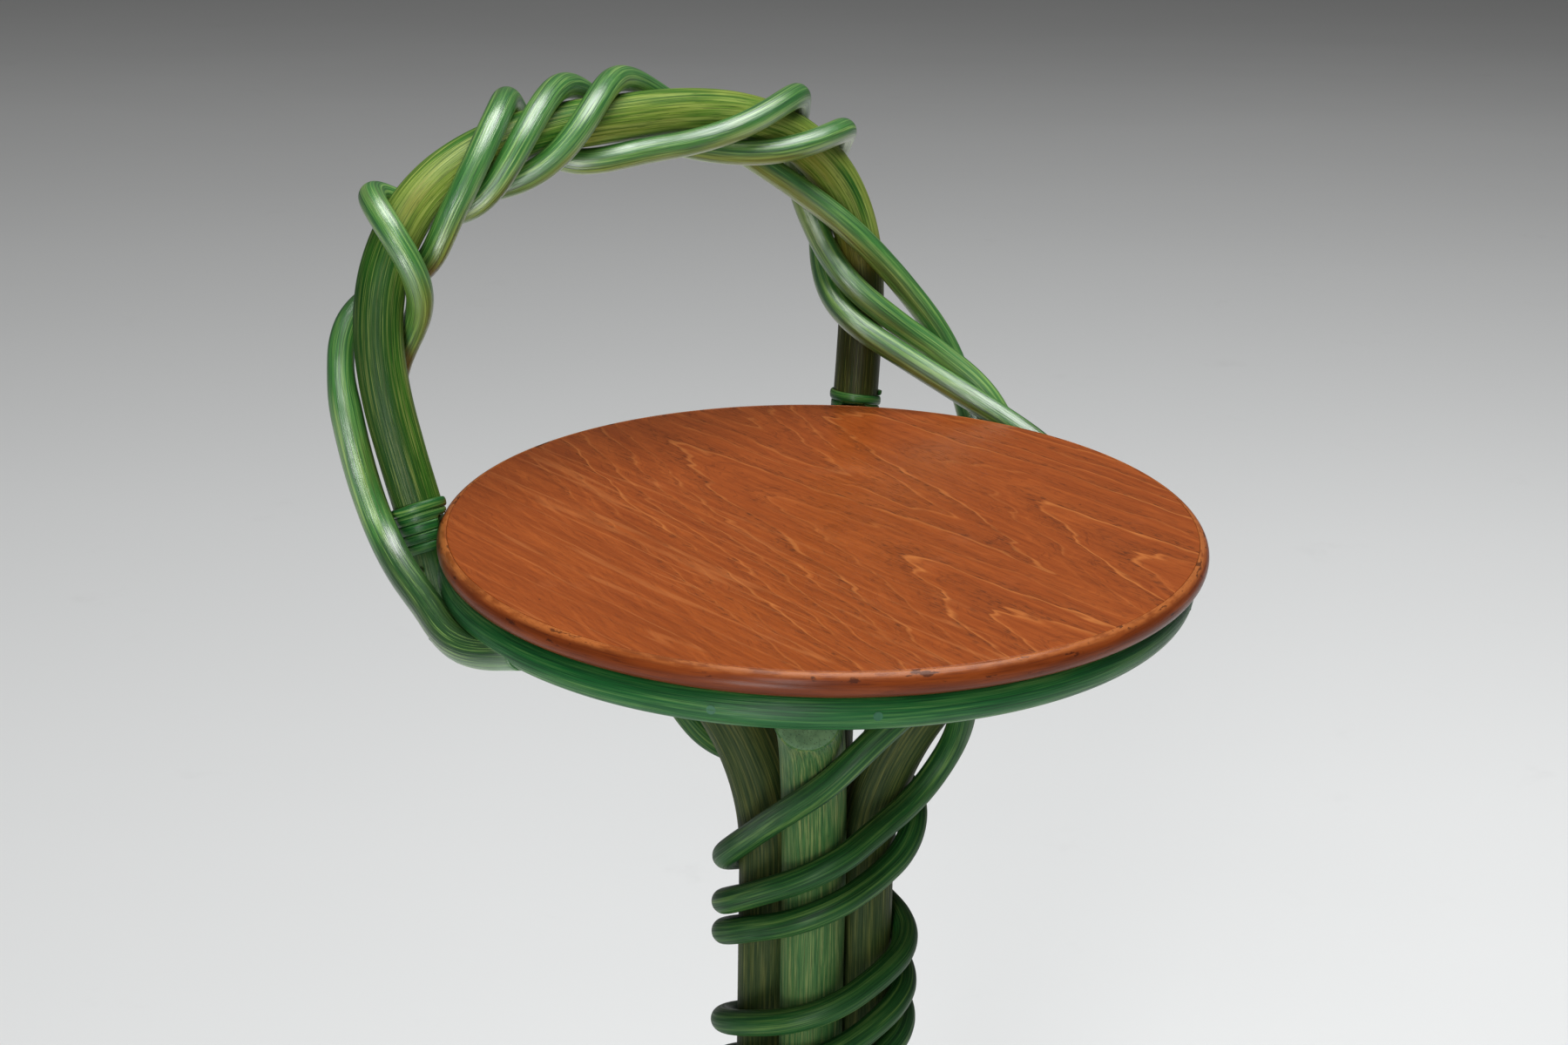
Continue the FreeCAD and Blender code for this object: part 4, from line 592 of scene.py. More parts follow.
def cut_end(name, light, dark, rim):
    """sawn end of a rattan pole: many small dark vessels in a paler, cloudy body"""
    k = Look(name)
    f = k.attr("fib")
    x, y, s = k.split(f)
    flat = k.join(x, y, 0.0)
    pores = k.cells(flat, 900)
    cloud = k.noise(flat, 140, 3.0, 0.6)
    col = k.mix(k.band(cloud, 0.3, 0.7), light, dark)
    col = k.mix(k.math("MULTIPLY", k.band(pores, 0.36, 0.12), 0.75), col, rim)
    rad = k.math("SQRT", k.math("ADD", k.math("MULTIPLY", x, x), k.math("MULTIPLY", y, y)))
    k.set(Base_Color=col, Roughness=0.7, Normal=k.bump(k.band(pores, 0.1, 0.4), 0.5, 0.0003))
    return k.mat


def teak():
    """flat-sawn veneer: nested arches along two heart lines, straight lines beside them, pores and pale lines"""
    k = Look("teak_veneer")
    x, y, z = k.split(k.place())
    g = k.math("MULTIPLY", y, -1.0)
    p2 = k.join(x, g, 0.0)
    # distance from two heart lines that slant a little across the grain
    bend = k.math("MULTIPLY", k.math("SUBTRACT", k.noise(k.vec("MULTIPLY", p2, (0.6, 1.0, 1)), 5.0, 1.0, 0.4), 0.5), 0.030)
    sx = k.math("ADD", x, bend)
    u1 = k.math("SUBTRACT", sx, k.math("MULTIPLY_ADD", g, -0.12, 0.006))
    u2 = k.math("SUBTRACT", sx, k.math("MULTIPLY_ADD", g, -0.12, 0.115))
    root = lambda u: k.math("SQRT", k.math("MULTIPLY_ADD", u, u, 0.013 * 0.013))
    near = k.math("SMOOTH_MIN", root(u1), root(u2), 0.022)
    climb = k.math("ADD", k.math("MULTIPLY_ADD", near, 4.8, -4.8 * 0.013), k.math("MULTIPLY", k.math("MULTIPLY", near, near), 16.0))
    drift = k.noise(k.vec("MULTIPLY", p2, (1.0, 0.40, 1)), 11.0, 2.0, 0.5)
    jag = k.noise(k.vec("MULTIPLY", p2, (1.0, 0.22, 1)), 62.0, 2.0, 0.55)
    small = k.noise(k.vec("MULTIPLY", p2, (1.0, 0.14, 1)), 230.0, 2.0, 0.5)
    h = k.math("SUBTRACT", g, climb)
    h = k.math("ADD", h, k.math("MULTIPLY", k.math("SUBTRACT", drift, 0.5), 0.075))
    h = k.math("ADD", h, k.math("MULTIPLY", k.math("SUBTRACT", jag, 0.5), 0.115))
    h = k.math("ADD", h, k.math("MULTIPLY", k.math("SUBTRACT", small, 0.5), 0.014))
    # growth rings at uneven steps: pale line on one side, porous dark wood on the other
    lo, hi = -0.80, 0.22
    at = k.band(h, lo, hi, smooth=False)
    edges = [-0.640, -0.545, -0.455, -0.375, -0.290, -0.212, -0.135, -0.030, 0.055, 0.130]
    strength = [0.6, 0.45, 0.8, 0.55, 0.75, 0.6, 1.0, 0.45, 1.0, 0.9]
    pos = lambda e: (e - lo) / (hi - lo)
    grey = lambda q: (q, q, q, 1)
    stops, zone = [], [(0.0, grey(0))]
    for e, q in zip(edges, strength):
        stops += [(pos(e - 0.0006), grey(0)), (pos(e + 0.0010), grey(q)), (pos(e + 0.0085), grey(0))]
        zone += [(pos(e - 0.052), grey(0)), (pos(e), grey(q)), (pos(e + 0.0012), grey(0))]
    light = k.ramp(at, stops)
    late = k.ramp(at, zone)
    broken = k.band(k.noise(k.vec("MULTIPLY", p2, (1, 0.25, 1)), 70.0, 2.0, 0.6), 0.36, 0.56, 0.25, 1.0)
    # lines that follow the rings, pores that follow the fibre
    along = k.join(k.math("MULTIPLY", h, 0.21), k.math("MULTIPLY", g, 0.05), 0.0)
    lines = k.noise(along, 900.0, 3.0, 0.65)
    wide = k.noise(along, 160.0, 2.0, 0.55)
    fine = k.noise(k.vec("MULTIPLY", p2, (1.0, 0.035, 1)), 1500.0, 2.5, 0.6)
    soft = k.noise(k.vec("MULTIPLY", p2, (1.0, 0.030, 1)), 300.0, 3.0, 0.6)
    pore = k.noise(k.vec("MULTIPLY", p2, (1.0, 0.13, 1)), 1000.0, 1.5, 0.45)
    col = k.ramp(soft, [(0.25, lin(120, 55, 17)), (0.5, lin(136, 65, 23)), (0.75, lin(150, 76, 29))])
    col = k.mix(k.math("MULTIPLY", k.band(wide, 0.42, 0.66), 0.24), col, lin(112, 48, 16))
    col = k.mix(k.math("MULTIPLY", k.band(wide, 0.48, 0.30), 0.26), col, lin(166, 88, 38))
    col = k.mix(k.math("MULTIPLY", k.band(lines, 0.54, 0.66), 0.38), col, lin(88, 38, 14))
    col = k.mix(k.math("MULTIPLY", late, 0.34), col, lin(100, 48, 17))
    dots = k.math("MULTIPLY", k.band(pore, 0.55, 0.64), k.math("MULTIPLY_ADD", late, 0.75, 0.15))
    col = k.mix(k.math("MULTIPLY", dots, 0.78), col, lin(58, 27, 10))
    col = k.mix(k.math("MULTIPLY", k.band(fine, 0.55, 0.70), 0.30), col, lin(88, 38, 14))
    col = k.mix(k.math("MULTIPLY", k.math("MULTIPLY", light, broken), 0.62), col, lin(190, 118, 60))
    thread = k.noise(k.join(k.math("ADD", x, k.math("MULTIPLY", k.math("SUBTRACT", jag, 0.5), 0.006)), k.math("MULTIPLY", g, 0.035), 0.0), 72.0, 1.0, 0.4)
    thin = k.band(k.math("ABSOLUTE", k.math("SUBTRACT", thread, 0.5)), 0.020, 0.004)
    thin = k.math("MULTIPLY", thin, k.math("MULTIPLY", broken, k.band(x, 0.02, -0.06)))
    col = k.mix(k.math("MULTIPLY", thin, 0.26), col, lin(184, 114, 62))
    # rubbed spots and a few small dents
    spots = k.noise(k.join(x, y, 0.31), 23.0, 4.0, 0.6)
    col = k.mix(k.band(spots, 0.60, 0.80, 0.0, 0.14), col, lin(168, 104, 66))
    dent = k.cells(k.join(x, y, 0.0), 34.0)
    col = k.mix(k.band(dent, 0.030, 0.014, 0.0, 0.6), col, lin(60, 26, 14))
    rough = k.math("ADD", k.math("MULTIPLY", k.band(spots, 0.3, 0.7), 0.08), 0.36)
    rough = k.math("ADD", rough, k.math("MULTIPLY", dots, 0.15))
    height = k.math("SUBTRACT", 1.0, k.math("MULTIPLY", dots, 0.8))
    k.set(Base_Color=col, Roughness=rough, Coat_Weight=0.10, Coat_Roughness=0.24, Specular_IOR_Level=0.16,
          Normal=k.bump(height, 0.25, 0.0002, k.bump(fine, 0.10, 0.0002)))
    return k.mat


def lipping_wood():
    """solid edge strip: grain runs round the rim, darker below as painted shade, pale on the crown partly from rubbing
    and partly as a painted highlight
    """
    k = Look("seat_edge_wood")
    f = k.attr("fib")
    rx, rz, s = k.split(f)
    fine = k.noise(k.vec("MULTIPLY", f, (1, 1, 0.03)), 1500.0, 3.0, 0.6)
    soft = k.noise(k.vec("MULTIPLY", f, (1, 1, 0.10)), 210.0, 3.0, 0.55)
    wear = k.noise(k.vec("MULTIPLY", f, (1, 1, 0.30)), 240.0, 4.0, 0.6)
    col = k.ramp(soft, [(0.25, lin(84, 35, 11)), (0.5, lin(106, 47, 16)), (0.75, lin(128, 61, 23))])
    col = k.mix(k.math("MULTIPLY", k.band(fine, 0.5, 0.70), 0.55), col, lin(66, 26, 14))
    # pale on the crown: partly rubbed wear, partly painted highlight
    crown = k.band(rz, 0.7368, 0.7396)
    col = k.mix(k.math("MULTIPLY", crown, k.band(wear, 0.36, 0.58, 0.22, 0.72)), col, lin(170, 100, 50))
    nick = k.math("MULTIPLY", k.band(wear, 0.60, 0.66), k.band(rz, 0.7290, 0.7345))
    col = k.mix(k.math("MULTIPLY", nick, 0.75), col, lin(48, 20, 11))
    # darker on the underside of the strip: painted shade
    under = k.band(rz, 0.7345, 0.7290)
    col = k.mix(k.math("MULTIPLY", under, 0.40), col, lin(72, 32, 20))
    k.set(Base_Color=col, Roughness=k.math("ADD", k.math("MULTIPLY", wear, 0.2), 0.22), Coat_Weight=0.08,
          Coat_Roughness=0.22, Specular_IOR_Level=0.14, Normal=k.bump(fine, 0.3, 0.0004, k.bump(wear, 0.2, 0.0006)))
    return k.mat


def plain_wood(name, a, b, dark, along=(1.0, 1.0, 0.06), scale=160.0, rough=0.62):
    k = Look(name)
    p = k.vec("MULTIPLY", k.place(), along)
    soft = k.noise(p, scale, 4.0, 0.6, 0.4)
    fine = k.noise(p, scale * 6.0, 2.0, 0.5)
    col = k.mix(k.band(soft, 0.3, 0.7), a, b)
    col = k.mix(k.math("MULTIPLY", k.band(fine, 0.54, 0.72), 0.5), col, dark)
    k.set(Base_Color=col, Roughness=k.math("ADD", k.math("MULTIPLY", soft, 0.15), rough - 0.07),
          Normal=k.bump(fine, 0.25, 0.0004))
    return k.mat


def metal(name, a, b, rough):
    k = Look(name)
    p = k.place()
    n = k.noise(p, 900.0, 3.0, 0.6)
    m = k.noise(p, 5200.0, 1.0, 0.5)
    col = k.mix(k.band(n, 0.35, 0.7), a, b)
    k.set(Base_Color=col, Metallic=1.0, Roughness=k.math("ADD", k.math("MULTIPLY", n, 0.25), rough - 0.1),
          Normal=k.bump(m, 0.1, 0.0001))
    return k.mat


def moulded(name, a, b):
    k = Look(name)
    p = k.place()
    n = k.noise(p, 2600.0, 2.0, 0.6)
    w = k.noise(p, 120.0, 3.0, 0.6)
    col = k.mix(k.band(w, 0.35, 0.7), a, b)
    k.set(Base_Color=col, Roughness=k.math("ADD", k.math("MULTIPLY", w, 0.2), 0.45), Normal=k.bump(n, 0.25, 0.0003))
    return k.mat


M_ARCH = rattan("rattan_olive", lin(28, 82, 22), lin(56, 104, 30), lin(150, 166, 86), lin(14, 48, 10), lin(110, 128, 44), lin(112, 94, 26),
                base=0.46, spread=0.70, patchy=1.1, gloss=0.10, coat=1.5, rough=0.44, streak=0.58, cream=0.34, dash=0.45, width=0.78)
M_VINE = rattan("rattan_green", lin(20, 86, 30), lin(54, 117, 45), lin(144, 182, 95), lin(8, 48, 14), lin(112, 131, 39), lin(120, 110, 32),
                base=0.50, spread=0.35, patchy=1.0, gloss=1.0, coat=1.90, rough=0.42, streak=0.56, cream=0.52, dash=0.30, width=0.85, satin=0.31)
# the column vines get a darker copy of the vine rattan: painted shade under the seat
M_COL_VINE_SHADED = rattan("rattan_green_shaded_copy", lin(8, 48, 17), lin(26, 74, 29), lin(86, 118, 56), lin(4, 30, 11), lin(64, 86, 28), lin(76, 78, 26),
                    base=0.56, spread=0.3, patchy=0.8, gloss=0.10, coat=1.4, rough=0.50, streak=0.50, cream=0.30, dash=0.25, width=0.85)
# the three poles other than the front one get a darker, greyer copy of the front pole's rattan: painted shade
M_POLE = rattan("rattan_grey_green_shaded_copy", lin(28, 50, 20), lin(45, 61, 26), lin(96, 101, 50), lin(13, 27, 10), lin(64, 72, 30), lin(70, 60, 26),
                base=0.50, spread=0.3, patchy=0.8, gloss=0.02, coat=1.4, rough=0.58, streak=0.52, cream=0.28, dash=0.30, width=0.62, run=1.0)
M_POLE_F = rattan("rattan_soft_green", lin(36, 82, 42), lin(62, 98, 50), lin(122, 132, 78), lin(20, 48, 24), lin(84, 96, 42), lin(86, 78, 36),
                  base=0.58, spread=0.3, patchy=0.8, gloss=0.02, coat=1.4, rough=0.58, streak=0.58, cream=0.30, dash=0.34, width=0.62, run=0.8)
M_HOOP = rattan("rattan_blue_green", lin(6, 62, 27), lin(18, 84, 36), lin(78, 124, 62), lin(4, 38, 14), lin(56, 90, 28), lin(72, 78, 24),
                base=0.58, spread=0.25, patchy=0.8, gloss=0.22, coat=1.5, rough=0.44, streak=0.48, cream=0.30, dash=0.2, width=0.85)
M_CANE = rattan("cane_strip", lin(12, 70, 30), lin(36, 100, 40), lin(112, 146, 72), lin(6, 36, 14), lin(82, 100, 28), lin(96, 90, 28),
                base=0.54, spread=0.3, gloss=0.35, coat=1.55, rough=0.40, streak=0.80, cream=0.42, dash=0.5, width=0.8)
M_CUT = cut_end("rattan_cut_end", lin(80, 116, 78), lin(58, 94, 60), lin(34, 62, 40))
M_CUT_G = cut_end("rattan_cut_green", lin(64, 108, 64), lin(38, 84, 48), lin(20, 54, 32))
M_TEAK = teak()
M_EDGE = lipping_wood()
M_PLY = plain_wood("plywood", lin(196, 160, 112), lin(174, 136, 90), lin(120, 88, 54), (0.08, 1.0, 1.0), 120.0)
M_BACK = plain_wood("backing_veneer", lin(150, 92, 54), lin(128, 74, 42), lin(84, 46, 26), (1.0, 0.06, 1.0), 190.0)
M_RAIL_A = plain_wood("rail_softwood", lin(190, 152, 102), lin(166, 124, 76), lin(116, 80, 46), (0.5, 0.5, 1.0), 90.0)
M_DOWEL = plain_wood("dowel_hardwood", lin(204, 170, 124), lin(186, 148, 100), lin(140, 104, 66), (1.0, 1.0, 1.0), 200.0)
M_STEEL = metal("zinc_steel", lin(150, 148, 140), lin(112, 110, 104), 0.38)
M_NAIL = metal("dull_nail", lin(96, 98, 84), lin(60, 66, 52), 0.5)
M_NAIL_G = moulded("stained_nail_head", lin(12, 74, 46), lin(24, 94, 58))
M_GLIDE = moulded("glide_plastic", lin(34, 34, 34), lin(52, 50, 48))

# ================================================================ pieces


def piece(ob, node):
    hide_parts(node)
    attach(ob, "root")
    return ob


def polar(r, az, z):
    a = math.radians(az)
    return np.array([r * math.cos(a), r * math.sin(a), z])


def step(x, a, b):
    t = np.clip((x - a) / (b - a), 0, 1)
    return t * t * (3 - 2 * t)


def vine_stain_and_shade(p, d, s):
    """the stain is thinner on the underside of the vines; the ends down by the seat ring are darkened as painted shade
    """
    # the vine ends by the seat ring are darkened: painted shade
    tip = step(p[..., 2], 742, 712)
    return 0.10 - 0.50 * d[..., 2] + 0.20 * wobble(s / 130.0, 3.0) - 0.95 * tip


def column_painted_shade(p, d, s):
    # darker on top and paler, more olive underneath: painted shade from the seat and painted floor light
    return -0.10 - 0.30 * d[..., 2]


def arch_stain_and_shade(p, d, s):
    """thin stain along the top; dark green on the outer side of the left foot, partly thicker stain and partly painted
    shade; dark brown-olive painted shade on the right foot
    """
    left = step(-p[..., 0], 90, 150) * step(p[..., 2], 905, 840)
    right = step(p[..., 0], 90, 150) * step(p[..., 2], 905, 850)
    # the outer side of the left foot is darker: partly thicker stain, partly painted shade
    face = d[..., 0] * 0.80 + d[..., 1] * 0.25
    # the right foot runs high in tint, which paints it dark brown-olive: painted shade
    foot = step(p[..., 0], 90, 150) * step(p[..., 2], 838, 808)
    crown = step(d[..., 2], 0.35, 0.95) * (1 - left) * (1 - right)
    return 0.42 - 0.34 * crown + left * (1.00 * face - 0.72) + right * 0.20 + foot * 0.90


# seat top and edge strip, with a fine groove along the joint
z0 = SEAT_H - SEAT_T
n_disc = 24
prof = [(r, SEAT_H) for r in np.linspace(0, PANEL_R - 1.2, n_disc)]
prof += [(PANEL_R - 0.5, SEAT_H - 0.01), (PANEL_R - 0.22, SEAT_H - 0.09), (PANEL_R - 0.04, SEAT_H - 0.3)]
prof += [(PANEL_R - 0.04, SEAT_H - VENEER_T), (0, SEAT_H - VENEER_T)]
piece(disc("seat_top_veneer", prof, [M_TEAK]), "seat_veneer")
a = np.linspace(-1, 1, 25)
half = SEAT_T / 2
chord = math.hypot(PANEL_R + 0.8 - SEAT_R, half)
rad = (half**2 + (SEAT_R - PANEL_R - 0.8)**2) / (2 * (SEAT_R - PANEL_R - 0.8))
lim = math.asin(half / rad)
prof = [(PANEL_R + 0.04, SEAT_H - 0.35), (PANEL_R + 0.2, SEAT_H - 0.10), (PANEL_R + 0.5, SEAT_H - 0.01), (PANEL_R + 0.78, SEAT_H - 0.005)]
prof += [(SEAT_R - rad + rad * math.cos(lim * q), SEAT_H - half - rad * math.sin(lim * q)) for q in a[1:]]
prof += [(PANEL_R + 0.04, z0)]
piece(turned("seat_edge_strip", prof, [M_EDGE], fib_r=SEAT_R), "seat_lipping")


def hoop(name, radius, d, z, scarf_az, mats, low=None, high=None, seg=40, steps=480, start=0.0, slope=18.0, middle=(0, 0)):
    """bent pole closed by a slanting glued joint"""
    r = d / 2
    u = np.linspace(0, 1, steps)
    gap = 0.35 / radius / math.sin(math.radians(slope))
    az = math.radians(scarf_az) + gap / 2 + u * (2 * math.pi - gap)
    th = np.arange(seg) / seg * 2 * math.pi
    dz = r * np.sin(th)
    w = np.clip(1 - np.minimum(u, 1 - u) * 2 * math.pi / 1.2, 0, 1)
    w = w * w * (3 - 2 * w)
    A = az[:, None] + w[:, None] * (dz / math.tan(math.radians(slope)) / radius)[None]
    swell = 1 - 0.006 * (0.5 + 0.5 * np.sin(az * 5 + 0.7))[:, None] - 0.005 * (0.5 + 0.5 * np.cos(2 * th[None] + 3 * az[:, None]))
    rho = radius + r * swell * np.cos(th)[None]
    zz = z + r * swell * np.sin(th)[None]
    if high is not None:
        zz = np.minimum(zz, high)
    if low is not None:
        zz = np.maximum(zz, low)
    v = np.stack([middle[0] + rho * np.cos(A), middle[1] + rho * np.sin(A), zz], -1).reshape(-1, 3)
    fib = np.stack([np.broadcast_to(r * np.cos(th)[None], A.shape), np.broadcast_to(r * np.sin(th)[None], A.shape),
                    A * radius + start], -1).reshape(-1, 3)
    faces, fm = [], []
    for i in range(steps - 1):
        for j in range(seg):
            k = (j + 1) % seg
            faces.append((i * seg + j, i * seg + k, (i + 1) * seg + k, (i + 1) * seg + j))
            fm.append(0)
    faces.append(tuple(range(seg))[::-1])
    faces.append(tuple((steps - 1) * seg + j for j in range(seg)))
    fm += [len(mats) - 1] * 2
    faces = [f[::-1] for f in faces]
    return build(name, v, faces, mats, fm, fib)


piece(hoop("seat_ring", HOOP_R, HOOP_D, HOOP_Z, 92.0, [M_HOOP, M_CUT_G], high=z0, start=3000.0, middle=HOOP_C), "seat_hoop")
piece(hoop("floor_ring", BASE_R, BASE_D, BASE_Z, 70.0, [M_HOOP, M_CUT_G], low=BASE_FLAT, start=9000.0), "base_hoop")

# four column poles
for i, (key, (az, drop, bend, end)) in enumerate(ARMS.items()):
    b0, be = SEAT_H - drop, math.radians(bend)
    r1, z1 = POLE_C + ARM_BEND * (1 - math.cos(be)), b0 + ARM_BEND * math.sin(be)
    z2 = z1 + (end - r1) / math.tan(be)
    q = np.linspace(math.pi / 2, 0, 34)
    low = [(POLE_C + FOOT_BEND * (1 - math.cos(t)), FOOT_Z + FOOT_BEND * (1 - math.sin(t))) for t in q]
    top = [(POLE_C + ARM_BEND * (1 - math.cos(t)), b0 + ARM_BEND * math.sin(t)) for t in np.linspace(0, be, 34)]
    run = lambda p, n: [(p[0][0] + (p[1][0] - p[0][0]) * t, p[0][1] + (p[1][1] - p[0][1]) * t) for t in np.linspace(0, 1, n)]
    rz = run([(FOOT_END, FOOT_Z), low[0]], 16)[:-1] + low + run([low[-1], top[0]], 90)[1:-1] + top + run([top[-1], (end, z2)], 12)[1:]
    path = line(np.array([polar(r, az, z) for r, z in rz]))

    def press(v):
        v = off_ring(v, BASE_R, BASE_D / 2 + 0.05, BASE_Z)
        v[:, 2] = np.where(v[:, 2] > 400, np.minimum(v[:, 2], RAIL_Z), v[:, 2])
        return v

    piece(tube("column_pole_" + key + "_rattan", path, POLE_D / 2, [M_POLE_F if key == "front_left" else M_POLE, M_CUT], seg=48, start=1300.0 * i, uneven=0.008,
               seed=2.0 + i, shape=press, chamfer=2.2), "column_pole_" + key)


# back arch, pressed to the edge of the seat and the ring below it
def press_arch(v):
    v = off_seat(v, SEAT_R + 0.3, z0 - 0.3, SEAT_H + 0.3)
    return off_ring(v, HOOP_R, HOOP_D / 2 + 0.05, HOOP_Z, HOOP_C)


arch_path = through(ARCH, 2.5)
piece(tube("back_arch_rattan", arch_path, ARCH_D / 2, [M_ARCH, M_CUT_G], seg=44, start=700.0, uneven=0.010, seed=5.0,
           shape=press_arch, chamfer=1.4, tint=arch_stain_and_shade), "back_arch")


def press_vine(v):
    """the shaved end of a vine lies close against the ring and runs out under it"""
    return off_ring(v, HOOP_R, HOOP_D / 2 - 0.30, HOOP_Z, HOOP_C)


def butt(s):
    """the vine on the left is thicker at its lower end"""
    return 1 + (BUTT_D / VINE_D - 1) * (1 - step(s, 214.0, 241.0))


for i, (key, pts) in enumerate(ARCH_VINES.items()):
    piece(tube("arch_vine_%s_rattan" % key, through(pts, 2.5), VINE_D / 2, [M_VINE, M_CUT_G], seg=32, start=2100.0 * (i + 1),
               uneven=0.02, seed=7.0 + i, shape=press_vine, tint=vine_stain_and_shade, swell=butt if key == "a" else None),
          "arch_vine_" + key)
for i, (key, pts) in enumerate(COLUMN_VINES.items()):
    stop = z0 if key == "a" else RAIL_Z

    def under(v, stop=stop):
        v = v.copy()
        v[:, 2] = np.minimum(v[:, 2], stop)
        return v

    piece(tube("column_vine_%s_rattan" % key, through(pts, 2.5), VINE_D / 2, [M_COL_VINE_SHADED, M_CUT_G], seg=32, start=5000.0 + 2300.0 * i,
               uneven=0.015, seed=11.0 + i, shape=under, tint=column_painted_shade), "column_vine_" + key)

# cane wound round the feet of the arch
for side, pts in (("left", ARCH[:6]), ("right", ARCH[::-1][:6])):
    q = np.array(pts, float)
    axis = q[3] - q[1]
    axis /= np.linalg.norm(axis)
    mid = q[1] + axis * ((SEAT_H - 9.0 - q[1][2]) / axis[2])
    turns, pitch, wide, thick = 5, 5.6, 5.5, 1.25
    t = np.linspace(0, turns * 2 * math.pi, turns * 72)
    e1 = np.cross(axis, (0, 0, 1.0))
    e1 = np.cross(axis, (1.0, 0, 0)) if np.linalg.norm(e1) < 1e-3 else e1
    e1 /= np.linalg.norm(e1)
    e2 = np.cross(axis, e1)
    hgt = turns * pitch / 2 - wide / 2 * 0 - pitch * t / (2 * math.pi)
    sec = [(-0.5, 0.05), (-0.47, 0.55), (-0.36, 0.86), (-0.18, 0.98), (0.0, 1.0), (0.18, 0.98), (0.36, 0.86), (0.47, 0.55), (0.5, 0.05)]
    slant = np.array([-1.2, -4.6, 0.0]) if side == "left" else np.zeros(3)
    vv, ff = [], []
    for k in range(len(t)):
        d = math.cos(t[k]) * e1 + math.sin(t[k]) * e2
        lift = 0.10 * math.sin(3 * t[k] + 1.0)
        for w, hh in sec:
            first = 1 - step(t[k], 5.6, 7.6)
            rr = ARCH_D / 2 + 0.06 + (thick * (0.80 + 0.75 * first) + lift) * hh
            hh2 = np.clip(hgt[k] + w * wide, -turns * pitch / 2, turns * pitch / 2)
            vv.append(mid + axis * (hh2 + d @ slant) + d * rr)
            ff.append((w * wide, hh * thick, t[k] * ARCH_D / 2 + (40000 if side == "left" else 52000)))
    m = len(sec)
    faces = []
    for k in range(len(t) - 1):
        for j in range(m - 1):
            faces.append((k * m + j, k * m + j + 1, (k + 1) * m + j + 1, (k + 1) * m + j))
        faces.append((k * m + m - 1, k * m, (k + 1) * m, (k + 1) * m + m - 1))
    faces.append(tuple(range(m))[::-1])
    faces.append(tuple((len(t) - 1) * m + j for j in range(m)))
    v = off_seat(np.array(vv), SEAT_R + 0.35, z0 - 0.4, SEAT_H + 0.4)
    v = off_ring(v, HOOP_R, HOOP_D / 2 + 0.15, HOOP_Z, HOOP_C)
    piece(build("foot_binding_" + side, v, faces, [M_CANE], None, np.array(ff)), "arch_binding_" + side)

# carried-over pieces
PAINT = {"seat_panel": M_PLY, "seat_backing": M_BACK, "seat_rail_long": M_RAIL_A, "seat_rail_front_right": M_RAIL_A,
         "seat_rail_back_left": M_RAIL_A, "hoop_scarf_pins": M_DOWEL, "rail_dowels": M_DOWEL, "column_dowels": M_DOWEL,
         "seat_screws": M_STEEL, "arm_screws": M_STEEL, "foot_screws": M_STEEL, "arch_screws": M_STEEL, "glide_nails": M_STEEL,
         "rail_nails": M_NAIL_G, "binding_tacks": M_NAIL, "vine_brads": M_NAIL_G, "floor_glides": M_GLIDE}
for node, mat in PAINT.items():
    ob = frame["nodes"][node]
    ob.data.materials.clear()
    ob.data.materials.append(mat)

# ================================================================ stage, light, camera
AZ = math.radians(-40.8)


def world(x, y, z):
    """x to the right of the camera, y away from it, z above the seat; in metres"""
    return Vector((x * math.cos(AZ) - y * math.sin(AZ), x * math.sin(AZ) + y * math.cos(AZ), z + SEAT_H / 1000.0))


def floor_look():
    k = Look("floor_with_painted_falloff")
    p = k.place()
    x, y, z = k.split(p)
    away = k.math("ADD", k.math("MULTIPLY", x, -math.sin(AZ)), k.math("MULTIPLY", y, math.cos(AZ)))
    side = k.math("ADD", k.math("MULTIPLY", x, math.cos(AZ)), k.math("MULTIPLY", y, math.sin(AZ)))
    smear = k.noise(k.vec("MULTIPLY", k.join(side, away, 0.0), (1.0, 2.2, 1.0)), 1.6, 4.0, 0.55)
    v = k.math("ADD", away, k.math("MULTIPLY", k.math("SUBTRACT", smear, 0.5), 0.25))
    # paler near the stool and darker far away: painted falloff of light
    tones = ((0.0, 0.82), (0.13, 0.85), (0.20, 0.89), (0.30, 0.91), (0.47, 0.86), (0.60, 0.775), (0.72, 0.585), (1.0, 0.30))
    col = k.ramp(k.band(v, 0.0, 6.5, smooth=False), [(at, (q, q * 1.016, q * 1.020, 1)) for at, q in tones])
    # darker towards the left side: painted shade
    col = k.mix(k.band(side, -0.7, 0.9, 0.22, 0.0), col, (0.52, 0.53, 0.53, 1))
    fleck = k.noise(k.join(side, away, 0.7), 9.0, 5.0, 0.65)
    col = k.mix(k.band(fleck, 0.62, 0.8, 0.0, 0.06), col, (0.30, 0.28, 0.26, 1))
    k.set(Base_Color=col, Roughness=0.55)
    return k.mat


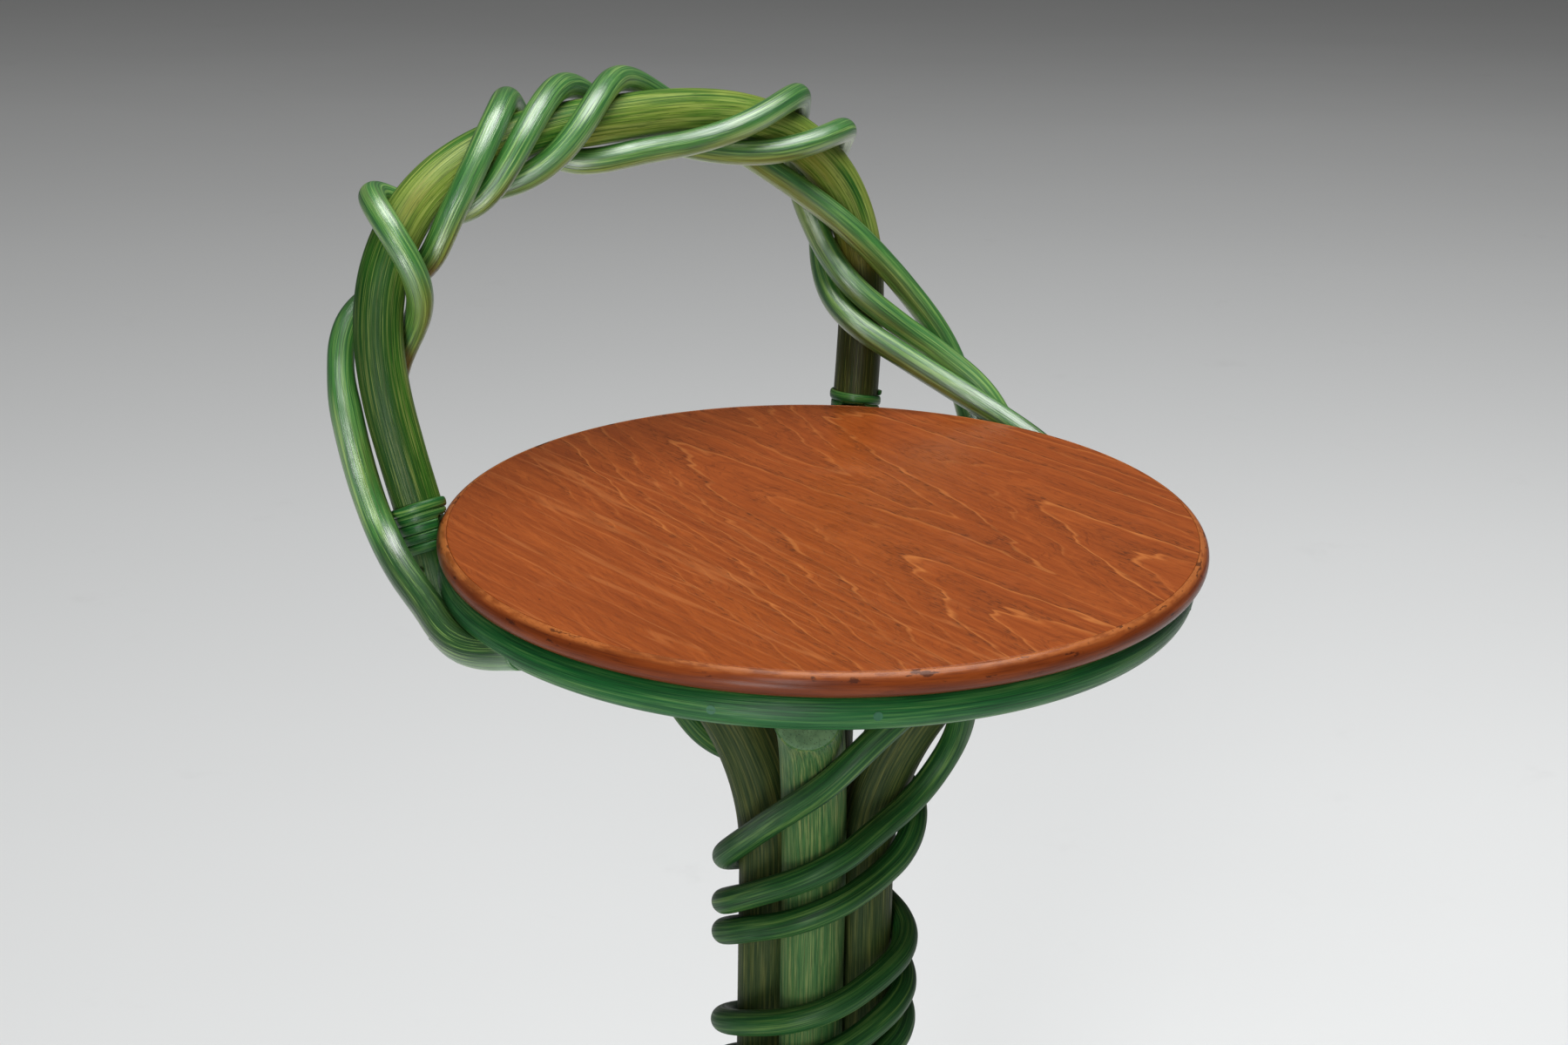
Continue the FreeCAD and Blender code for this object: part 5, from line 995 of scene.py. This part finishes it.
me = bpy.data.meshes.new("studio_floor")
s = 14.0
n = 28
gx = np.linspace(-s, s, n + 1)
me.from_pydata([(x, y, 0.0) for y in gx for x in gx], [], [(j * (n + 1) + i, j * (n + 1) + i + 1, (j + 1) * (n + 1) + i + 1, (j + 1) * (n + 1) + i)
                                                          for j in range(n) for i in range(n)])
me.materials.append(floor_look())
floor = bpy.data.objects.new("studio_floor", me)
bpy.context.scene.collection.objects.link(floor)


def softbox(name, place, aim, size, power, size_y=None, colour=(1, 1, 1)):
    d = bpy.data.lights.new(name, "AREA")
    d.energy = power
    d.color = colour
    d.size = size
    if size_y:
        d.shape = "RECTANGLE"
        d.size_y = size_y
    ob = bpy.data.objects.new(name, d)
    bpy.context.scene.collection.objects.link(ob)
    ob.location = place
    ob.rotation_euler = (aim - place).to_track_quat("-Z", "Y").to_euler()
    return ob


softbox("overhead", world(0.55, -0.05, 3.0), world(0, 0, 0), 2.4, 150.0)
softbox("front", world(-0.45, -2.45, 1.00), world(0, 0, 0.1), 0.50, 24.0, 1.5)
low = softbox("front_low", world(-0.45, -1.45, -0.45), world(-0.15, 0, 0), 0.42, 4.2, 0.6)
low.data.spread = math.radians(120)
w = bpy.data.worlds.new("studio")
bpy.context.scene.world = w
w.use_nodes = True
w.node_tree.nodes["Background"].inputs[0].default_value = (1.0, 0.985, 0.96, 1)
w.node_tree.nodes["Background"].inputs[1].default_value = 0.10

p, ro = math.radians(20.5341), math.radians(-0.9)
fwd = Vector((0.65342 * math.cos(p), 0.75700 * math.cos(p), -math.sin(p)))
right = Vector((0.75700, -0.65342, 0.0))
down = Vector((-math.sin(p) * 0.65342, -math.sin(p) * 0.75700, -math.cos(p)))
ax = right * math.cos(ro) + down * math.sin(ro)
ay = -(right * -math.sin(ro) + down * math.cos(ro))
cam_data = bpy.data.cameras.new("camera")
cam_data.lens = 76.0
cam_data.sensor_width = 36.0
cam_data.sensor_fit = "HORIZONTAL"
cam_data.clip_end = 60.0
cam = bpy.data.objects.new("camera", cam_data)
bpy.context.scene.collection.objects.link(cam)
az_ = ax.cross(ay)
cam.matrix_world = Matrix(((ax.x, ay.x, az_.x, -1.06797), (ax.y, ay.y, az_.y, -1.20630), (ax.z, ay.z, az_.z, 1.34403), (0, 0, 0, 1)))
bpy.context.scene.camera = cam

bpy.context.scene.view_settings.view_transform = "Standard"

bpy.context.view_layer.update()
